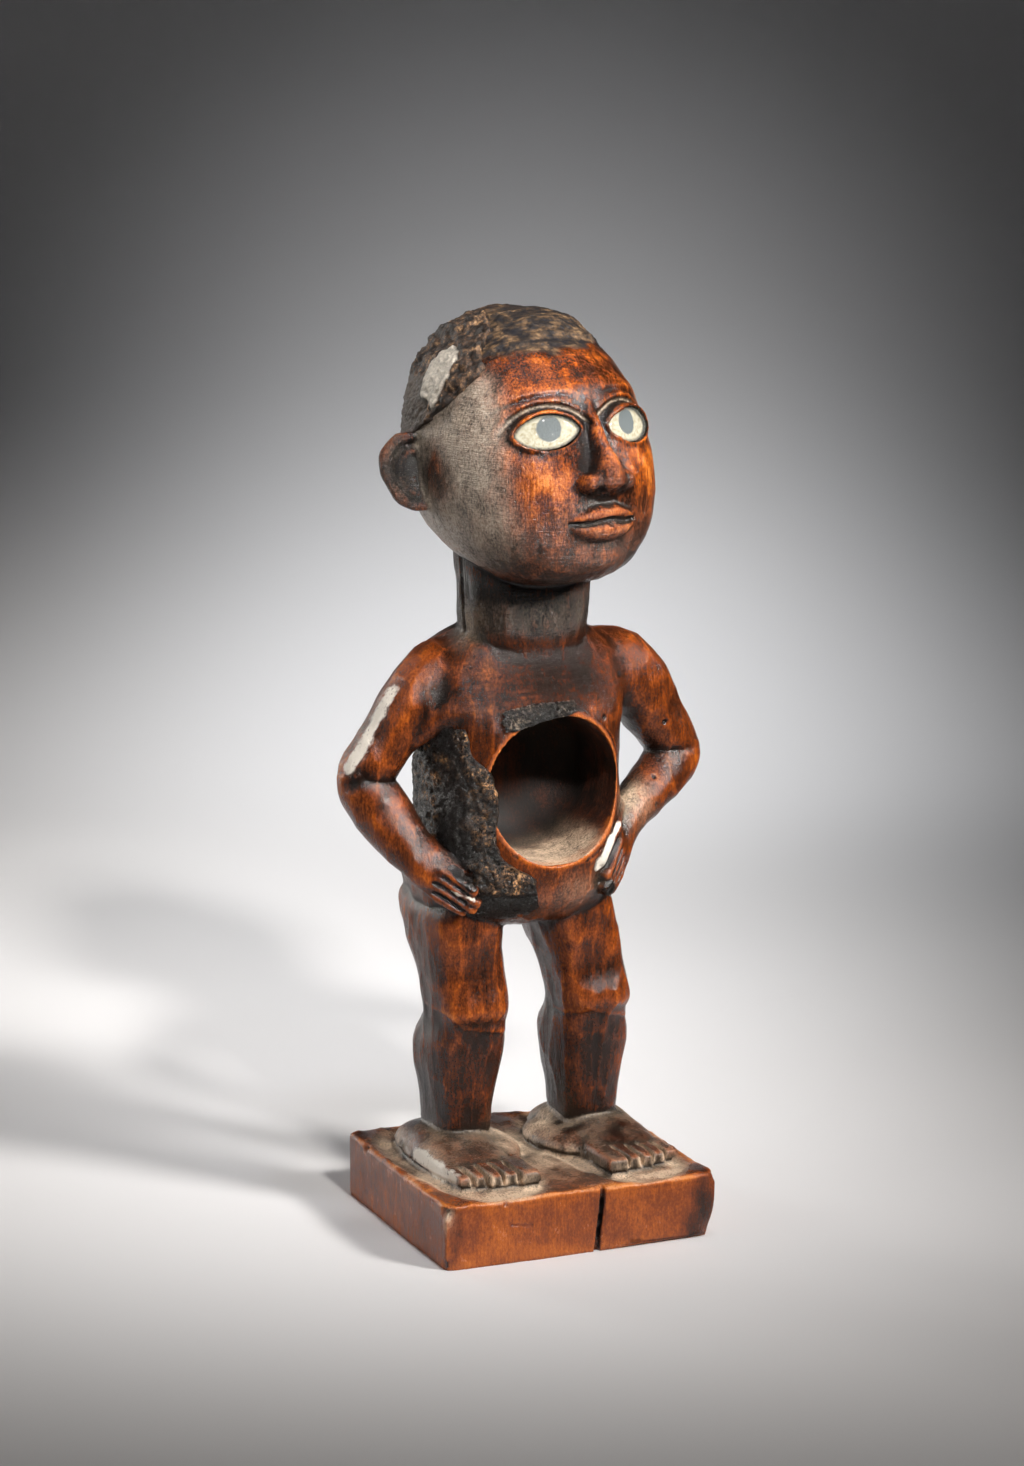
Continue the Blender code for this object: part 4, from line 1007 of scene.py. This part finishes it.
dust += 0.8 * deep * hollow_floor * (0.8 + 0.7 * clouds)
dust += 0.2 * ramp(shade, 0.3, 0.6) * on["neck"]
for margin, above in lids:
    dust += 0.4 * hump(margin, 2.4, 0.25) * ramp(above, 1.0, 3.0) * on["head"]
# Centre, widths, and how much lies there evenly and in clouds
for measured, centre, widths, even, patchy in (
    (points, (0, -6, BASE_TOP), (14, 26, 9), 0.28 * flat, 0.21 * flat),
    (points, (-41, -36.5, 16), (1.6, 1.6, 2.6), 0.9, 0),
    (points, (29, -1.5, 114), (4.5, 4, 6), 0.64, 0.4),
    (head, (-28.5, -9.5, 9), (3, 5, 4.5), 0.35, 0.84),
    (points, (-18, 1, 166), (4, 4, 5), 0.25, 0),
    (points, (8, -16, 90), (9, 4, 6), 0.18, 0.3),
):
    dust += bell(measured, centre, widths) * (even + patchy * clouds)

# Grey bloom and painted sheen on the temples, a crown worn bare, pale scrapes and painted highlights, and soot by the
# hollow's rim
crown = crown_of(points, head) * on["head"]
# A grey bloom with painted sheen in it, on the temples and the neck
grey = on["head"] * ramp(far_out, 17, 25) * ramp(hy, -28, -16) * (1.0 + 0.7 * clouds)
grey *= (1 - ramp(far_out, 29.5, 31)) * np.where(hx < 0, 1.0, 0.55) * (1 - ramp(hz, 16, 23))
grey = (grey + 0.12 * on["neck"] * (0.8 + clouds)) * (1 - crown)
# Painted highlights on the thumb and a finger share this mask with the scrapes
bare_and_highlight = np.zeros(len(points))
for start, end, radius in SCRAPES_AND_HIGHLIGHTS:
    away = near_line(points, start, end) + 0.4 * radius * cloudy(points, (1.2, 1.2, 3.0), 61)
    bare_and_highlight += 1 - ramp(away, radius * 0.6, radius * 1.3)
soot = 1.2 * hump(near_line(points, (-30.0, -7.0, 109.0), (-23.5, -14.0, 98.0)), 0, 2.2)
soot += bell(points, (17, -15.5, 93), (4, 4, 4.5))
shares = {
    "tone": tone, "dust": dust, "crown": crown, "grey": grey, "bare_and_highlight": bare_and_highlight,
    "soot": ramp(soot + 0.35 * clouds, 0.5, 0.85),
    "calm": 0.58 * on["base"] * (1 - flat) + 0.42 * (1 - on["base"]) * (1 - on["head"]),
    "dull": deep + dust + bare_and_highlight + 0.5 * grey + 0.7 * crown,
    "hatch": collar_of(points) + 0.8 * on["neck"] + 0.9 * grey + bell(head, (-8, -31, -6), (6, 8, 9)),
}
for name, values in shares.items():
    write_shares(figure.data, name, values)


def add_node(tree, kind, inputs=None, stops=(), **settings):
    """Add a node with its settings, and a ramp's stops. An input takes a number, a colour or a node's output."""
    made = tree.nodes.new("ShaderNode" + kind)
    for name, value in settings.items():
        setattr(made, name, value)
    for name, value in (inputs or {}).items():
        if isinstance(value, bpy.types.NodeSocket):
            tree.links.new(value, made.inputs[name])
        else:
            made.inputs[name].default_value = value
    for i, (at, code) in enumerate(stops):
        stop = made.color_ramp.elements[i] if i < 2 else made.color_ramp.elements.new(at)
        stop.position, stop.color = at, linear(code)
    return made


def patterns(tree, rows):
    """The object's own coordinates, and patterns of cloudy noise: size in millimetres, detail and roughness."""
    place = add_node(tree, "TexCoord").outputs["Object"]
    made = []
    for size, detail, rough in rows:
        near = add_node(tree, "Mapping", {0: place, "Scale": 1000 / np.array(size)}).outputs[0]
        noise = {"Vector": near, "Scale": 1.0, "Detail": detail, "Roughness": rough}
        made.append(add_node(tree, "TexNoise", noise).outputs["Fac"])
    return place, made


def sums(tree, *terms):
    """Numbers and outputs in pairs, each pair multiplied and the products added up."""
    total = 0.0
    for first, second in terms:
        total = add_node(tree, "Math", {0: first, 1: second, 2: total}, operation="MULTIPLY_ADD").outputs[0]
    return total


# The wood's grain, patches, specks and pores, the crown's streaks, and the knife's fine hatching
WOOD_PATTERNS = [
    ((0.66667, 0.66667, 7.6923), 5, 0.65), ((3.57143, 3.57143, 5.88235), 6, 0.75),
    ((0.526316, 0.526316, 0.909091), 3, 0.7), ((0.277778, 0.277778, 0.666667), 3, 0.6),
    ((10, 1.25, 1.25), 5, 0.7), ((6.25, 6.25, 0.769231), 4, 0.8),
]


def patina(name):
    """Oiled hardwood worn by hands: painted shade darkens its hollows, rubbed places are orange; a low soft shine."""
    material, tree, shader = new_material(name, {"IOR": 1.5})
    _, (grain, patch, speck, fine, streak, hatch) = patterns(tree, WOOD_PATTERNS)
    shares = {}
    for key in ("tone", "calm", "dull", "grey", "dust", "bare_and_highlight", "soot", "crown", "hatch"):
        shares[key] = add_node(tree, "Attribute", attribute_name=key).outputs["Fac"]
    mottle = sums(tree, (grain, 0.75), (patch, 1.15), (speck, 1.1), (1.0, -1.5))
    level = sums(tree, (shares["tone"], 1.0), (mottle, 1.0), (sums(tree, (mottle, shares["calm"])), -1.0))
    # Oiled wood from its darkest hollows, in painted shade, to where it is rubbed most, then the worn crown's own
    # colours
    tone_colours = [(0, "#0A0605"), (0.2, "#1D0E07"), (0.42, "#4A220E"), (0.62, "#7C3A13"), (0.82, "#AC591B"), (1, "#CE7A30")]
    colour = add_node(tree, "ValToRGB", {"Fac": level}, tone_colours).outputs["Color"]
    bared = ((0.38, "#17161B"), (0.50, "#2E2722"), (0.60, "#5E4833"), (0.74, "#957A5A"))
    bared = add_node(tree, "ValToRGB", {"Fac": sums(tree, (streak, 0.55), (patch, 1.1), (1.0, -0.32))}, bared)
    over = {0: shares["crown"], 6: colour, 7: bared.outputs["Color"]}
    colour = add_node(tree, "Mix", over, data_type="RGBA").outputs[2]
    broken = sums(tree, (patch, 2.2), (speck, 2.6), (1.0, -1.7))
    # The grey layer is a bloom with painted sheen on it
    layers = (("grey", "#B8AA9A", 1.05), ("dust", "#DCC2A6", 1.35), ("bare_and_highlight", "#DAD3C8", 2.6), ("soot", "#120E0C", 2.5))
    # The pale bare layer also carries painted highlights on the thumb and a finger
    for key, code, gain in layers:
        share = {0: sums(tree, (broken, shares[key])), 1: gain}
        share = add_node(tree, "Math", share, operation="MULTIPLY", use_clamp=True).outputs[0]
        colour = add_node(tree, "Mix", {0: share, 6: colour, 7: linear(code)}, data_type="RGBA").outputs[2]
    tree.links.new(colour, shader.inputs["Base Color"])
    matt = sums(tree, (patch, 0.26), (shares["dull"], 0.45), (shares["calm"], 0.10), (1.0, 0.05))
    tree.links.new(matt, shader.inputs["Roughness"])
    relief = sums(tree, (fine, 0.4), (grain, 0.8), (speck, 0.3), (sums(tree, (hatch, shares["hatch"])), 5.0))
    bump = add_node(tree, "Bump", {"Strength": 0.8, "Distance": 0.00035, "Height": relief})
    tree.links.new(bump.outputs["Normal"], shader.inputs["Normal"])
    return material


figure.data.materials.clear()
figure.data.materials.append(patina("oiled hardwood"))
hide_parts("figure")
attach(figure, "root")

# The eyes: an ivory ground with a grey-blue disc painted on it, under an almond pane of clear glass that is
# held by the lid's edge.

# Margin and height of each ring, and how dirty the paint is there, with its two tips at the end
GROUND = [(0, -1.4), (0, -0.65), (-0.15, -0.6), (-0.5, -0.6), (-1.1, -0.6), (-2.2, -0.6), (-3.4, -0.6)]
GROUND_DIRT = np.append(np.repeat((1, 1, 1, 0.75, 0.3, 0, 0), 72), (1, 0))
PANE = [(0, -0.3), (0, 0.3), (-0.5, 0.55), (-1.6, 0.7), (-3.2, 0.75)]
IRIS_OFFSET, IRIS_RISE = 0.6, 0.9


def ivory_paint(side):
    """Old oil paint: matt ivory with brown dirt along its edge, and a grey-blue disc with a wandering outline."""
    material, tree, shader = new_material("ivory paint", {"Roughness": 0.6})
    middle, across, _ = eye_frame(side)
    centre = (on_head(middle - across * IRIS_OFFSET * side + (0, 0, IRIS_RISE)) + raised) / 1000
    place, (speck,) = patterns(tree, (((0.909091,) * 3, 5, 0.7),))
    away = add_node(tree, "VectorMath", {0: place, 1: centre}, operation="DISTANCE").outputs["Value"]
    wander = sums(tree, (away, 1.0), (speck, 0.0009))
    iris = add_node(tree, "MapRange", {0: wander, 1: 0.0041, 2: 0.0037}).outputs[0]
    stain = add_node(tree, "ValToRGB", {"Fac": speck}, ((0.34, "#BDAE82"), (0.56, "#F1EAD0")))
    disc = {0: iris, 6: stain.outputs["Color"], 7: linear("#55626E")}
    colour = add_node(tree, "Mix", disc, data_type="RGBA").outputs[2]
    dirt = add_node(tree, "Attribute", attribute_name="dirt").outputs["Fac"]
    dirt = add_node(tree, "MapRange", {0: sums(tree, (dirt, speck)), 1: 0.22, 2: 0.5}).outputs[0]
    colour = add_node(tree, "Mix", {0: dirt, 6: colour, 7: linear("#4A3520")}, data_type="RGBA").outputs[2]
    tree.links.new(colour, shader.inputs["Base Color"])
    return material


for side, name in ((-1, "right_eye"), (1, "left_eye")):
    points, faces = almond(side, GROUND)
    ground = mesh_object(f"{name}_paint", points + raised, faces)
    face_outwards(ground)
    write_shares(ground.data, "dirt", GROUND_DIRT)
    ground.data.materials.append(ivory_paint(side))
    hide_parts(f"{name}_ground")
    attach(ground, "root")

# Thin window glass: nearly clear and a little grey, with one small sharp glint
clear = {"Base Color": linear("#8C908A"), "Roughness": 0.06, "IOR": 1.5, "Alpha": 0.2}
glass, _, _ = new_material("old window glass", clear)
for side, name in ((-1, "right_eye"), (1, "left_eye")):
    points, faces = almond(side, PANE)
    pane = mesh_object(f"{name}_pane", points + raised, faces)
    face_outwards(pane)
    pane.data.materials.append(glass)
    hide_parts(f"{name}_glass")
    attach(pane, "root")

# The resin: a crust pressed warm onto the head, a sheet of it down the right flank and under the hollow, and
# a short strip over the hollow. It dried black and rough, and has broken away along ragged edges.

# Where each crust lies: the place from crown to chin, or the height, and the angles in degrees it spans there
HEAD_RESIN = [
    (0.06, -50, -198), (0.13, -36, -212), (0.20, -40, -226), (0.27, -45, -232), (0.335, -50, -228),
    (0.38, -70, -238), (0.42, -88, -230), (0.455, -110, -236), (0.50, -128, -222),
]
BELLY_RESIN = [
    (69.5, -7, -38), (71, -5, -40), (73, -4, -41), (76, -5, -41), (80, -6, -42), (84, -17, -46),
    (88.5, -28, -64), (93, -32, -88), (98, -32, -101), (104, -32, -106), (110, -36, -105),
    (114.5, -47, -95), (118.5, -50, -80), (121.5, -51, -66),
]
CHEST_RESIN = [(121.1, -25, -20), (123.1, -25, -5), (125.1, -24, 9), (126.5, -22, 10), (128.1, -7, 9)]
RESIN_OVER, RESIN_UNDER = 0.1, -0.7


def resin_sheet(name, surface, outline, shape, relief, seed, ragged):
    """A crust as two layers over a surface: the outer one rises from a steep edge by a relief that is worked out
    from its places, the inner one lies under the wood's skin, and a band joins their edges."""
    rows, columns = shape
    outline = through(outline, rows)
    probe = np.column_stack([np.linspace(0, 14, rows), np.zeros((rows, 2))])
    for i in (1, 2):
        outline[:, i] += ragged * (cloudy(probe, 1.0, seed + i) + 0.5 * cloudy(probe, 0.35, seed + 2 + i))
    share = np.linspace(0, 1, columns)
    angles = np.radians(outline[:, 1:2] + (outline[:, 2:3] - outline[:, 1:2]) * share)
    places = np.broadcast_to(outline[:, 0:1], angles.shape)

    def layer(lift):
        """The surface's points, lifted off it."""
        return surface(places.ravel(), angles.ravel(), lift[:, None])

    down = np.linspace(0, 1, rows)[:, None]
    inset = np.minimum(np.minimum(share, 1 - share) * columns, np.minimum(down, 1 - down) * rows)
    flat = layer(np.zeros(angles.size))
    outer = layer(relief(flat) * (0.7 + 0.3 * ramp(inset, 0, 3)).ravel() + RESIN_OVER)
    inner = layer(np.full(angles.size, RESIN_UNDER))
    quads = squares(rows, columns, False)
    grid = np.arange(rows * columns).reshape(rows, columns)
    edge = np.concatenate([grid[0], grid[1:, -1], grid[-1, -2::-1], grid[-2:0:-1, 0]])
    ahead = np.roll(edge, -1)
    band = np.stack([edge, ahead, ahead + rows * columns, edge + rows * columns], -1)
    faces = np.concatenate([quads, quads[:, ::-1] + rows * columns, band])
    made = mesh_object(name, np.concatenate([outer, inner]) + raised, faces.tolist())
    face_outwards(made)
    return made, flat


def on_the_head(place, angle, lift):
    """The head's surface in the figure's frame, with the skull's own shape."""
    plain = head_surface(place, angle)
    return on_head(off_the_heart(plain, bells(plain, CROWN_FORMS)[:, None] + lift))


def resin(name, dark, light, pale, even, grain_mm, shine):
    """Dried plant resin with grit in it: near black, with tan grains, an even colour where it is smooth."""
    material, tree, shader = new_material(name, {})
    _, (grit, patch) = patterns(tree, (((grain_mm,) * 3, 6, 0.75), ((4.54545,) * 3, 4, 0.6)))
    total = sums(tree, (grit, 1.0), (patch, 0.6))
    tones = add_node(tree, "ValToRGB", {"Fac": total}, ((0.78, dark), (0.88, light), (1.0, pale)))
    colour = tones.outputs["Color"]
    deepened = add_node(tree, "MapRange", {0: grit, 1: 0.35, 2: 0.6, 3: 0.45, 4: 1.0}).outputs[0]
    for key, code in (("smooth", even), ("pale", "#D2C9BB")):
        share = add_node(tree, "Attribute", attribute_name=key).outputs["Fac"]
        share = add_node(tree, "MapRange", {0: sums(tree, (share, 1.0), (grit, 0.6)), 1: 0.55, 2: 1.0}).outputs[0]
        tint = {0: 1.0, 6: linear(code), 7: deepened}
        tint = add_node(tree, "Mix", tint, data_type="RGBA", blend_type="MULTIPLY").outputs[2]
        colour = add_node(tree, "Mix", {0: share, 6: colour, 7: tint}, data_type="RGBA").outputs[2]
    tree.links.new(colour, shader.inputs["Base Color"])
    matt = add_node(tree, "MapRange", {0: grit, 1: 0.3, 2: 0.7, 3: shine, 4: shine + 0.4}).outputs[0]
    tree.links.new(matt, shader.inputs["Roughness"])
    bump = add_node(tree, "Bump", {"Strength": 0.9, "Distance": 0.0006, "Height": grit})
    tree.links.new(bump.outputs["Normal"], shader.inputs["Normal"])
    return material


def head_zones(points):
    """Where the head's crust is a plaster-pale oval, and where it is a smooth lobe behind that."""
    head = (points - HEAD_MIDDLE) @ HEAD_TURN
    oval = 1.35 - np.linalg.norm((head - (-26.0, -1.7, 23.3)) / (8, 5.6, 11.0), axis=-1)
    pale = ramp(oval + 0.15 * cloudy(points, 2.0, 201), 0.2, 0.5)
    lobe = ramp(head[:, 1] + cloudy(points, 3.0, 202), 0, 2)
    lobe *= 1 - ramp(head[:, 2] + 1.5 * cloudy(points, 3.0, 203), 21, 24)
    return pale, lobe * (1 - pale)


def head_relief(points):
    """The head crust's thickness: coarse lumps, a smoother oval and lobe with a seam round them, a pit and a knob."""
    head = (points - HEAD_MIDDLE) @ HEAD_TURN
    pale, smooth = head_zones(points)
    lumps = 1.5 * (1 - cups(points, 8.5, 211)) + 1.0 * cloudy(points, 6.0, 216)
    lumps += 0.8 * cloudy(points, 1.9, 212) + 0.45 * cloudy(points, 0.8, 213)
    even = 0.5 * (1 - cups(points, 6.0, 214)) + 0.35 * cloudy(points, 1.2, 215) + 0.3 * cloudy(points, 0.6, 217)
    rise = 0.6 + lumps * (1 - pale) * (1 - smooth) + (0.9 + even) * pale + (0.2 + even) * smooth
    rise *= 1 - 0.6 * ramp(head[:, 2], 33, 38)
    rise += bells(head, [((-25.2, -11.0, 20.7), (2.2, 2.2, 1.6), -2.5), ((-25.5, 3.8, 24.9), (2.4, 2.4, 2.0), 1.6)])
    return np.clip(rise - 0.6 * hump(pale, 0.3, 0.25), -0.4, 3.4)


def belly_zones(points):
    """1 where the trunk's crust is smooth; its ridge by the hollow and the band under it are gritty."""
    across = points[:, 0] + 0.5 * points[:, 1] + 1.0 * cloudy(points, 4.0, 221)
    ridge = ramp(across, -28, -25) * (points[:, 2] > 84)
    band = ramp(points[:, 2], 76, 77.5) * (1 - ramp(points[:, 2], 84, 88))
    return 1 - np.clip(ridge + band, 0, 1)


def belly_relief(points):
    """The trunk crust's thickness: fine lumps, and long soft folds where it is smooth."""
    smooth = belly_zones(points)
    lumps = 0.9 * (1 - cups(points, 2.4, 231)) + 0.45 * cloudy(points, 1.1, 232)
    even = 0.45 * cloudy(points, (2.2, 2.2, 12.0), 233) + 0.15 * cloudy(points, 1.0, 234)
    return np.maximum(0.55 + lumps * (1 - smooth) + even * smooth, 0.1)


def chest_relief(points):
    """The chest strip's thickness: fine lumps all over."""
    return 0.25 + 0.7 * (1 - cups(points, 2.1, 241)) + 0.45 * cloudy(points, 1.1, 242)


head_crust, places = resin_sheet("head_crust", on_the_head, HEAD_RESIN, (170, 230), head_relief, 80, 3.5)
pale, smooth = head_zones(places)
write_shares(head_crust.data, "pale", np.tile(pale, 2))
write_shares(head_crust.data, "smooth", np.tile(0.85 * smooth, 2))
gritty = resin("gritty head resin", "#1A110B", "#5A4230", "#B08C64", "#54483E", grain_mm=1.6, shine=0.36)
head_crust.data.materials.append(gritty)
belly_crust, places = resin_sheet("belly_crust", torso_surface, BELLY_RESIN, (190, 150), belly_relief, 90, 1.5)
write_shares(belly_crust.data, "smooth", np.tile(belly_zones(places), 2))
black = resin("black flank resin", "#090706", "#3E2A1B", "#C09060", "#0B0907", grain_mm=0.8, shine=0.10)
belly_crust.data.materials.append(black)
chest_crust, _ = resin_sheet("chest_crust", torso_surface, CHEST_RESIN, (50, 130), chest_relief, 95, 1.0)
strip = resin("gritty chest resin", "#0B0908", "#2A2018", "#8A7A68", "#0B0908", grain_mm=0.9, shine=0.04)
chest_crust.data.materials.append(strip)
for crust_piece, node in ((head_crust, "head_resin"), (belly_crust, "belly_resin"), (chest_crust, "chest_resin")):
    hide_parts(node)
    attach(crust_piece, "root")
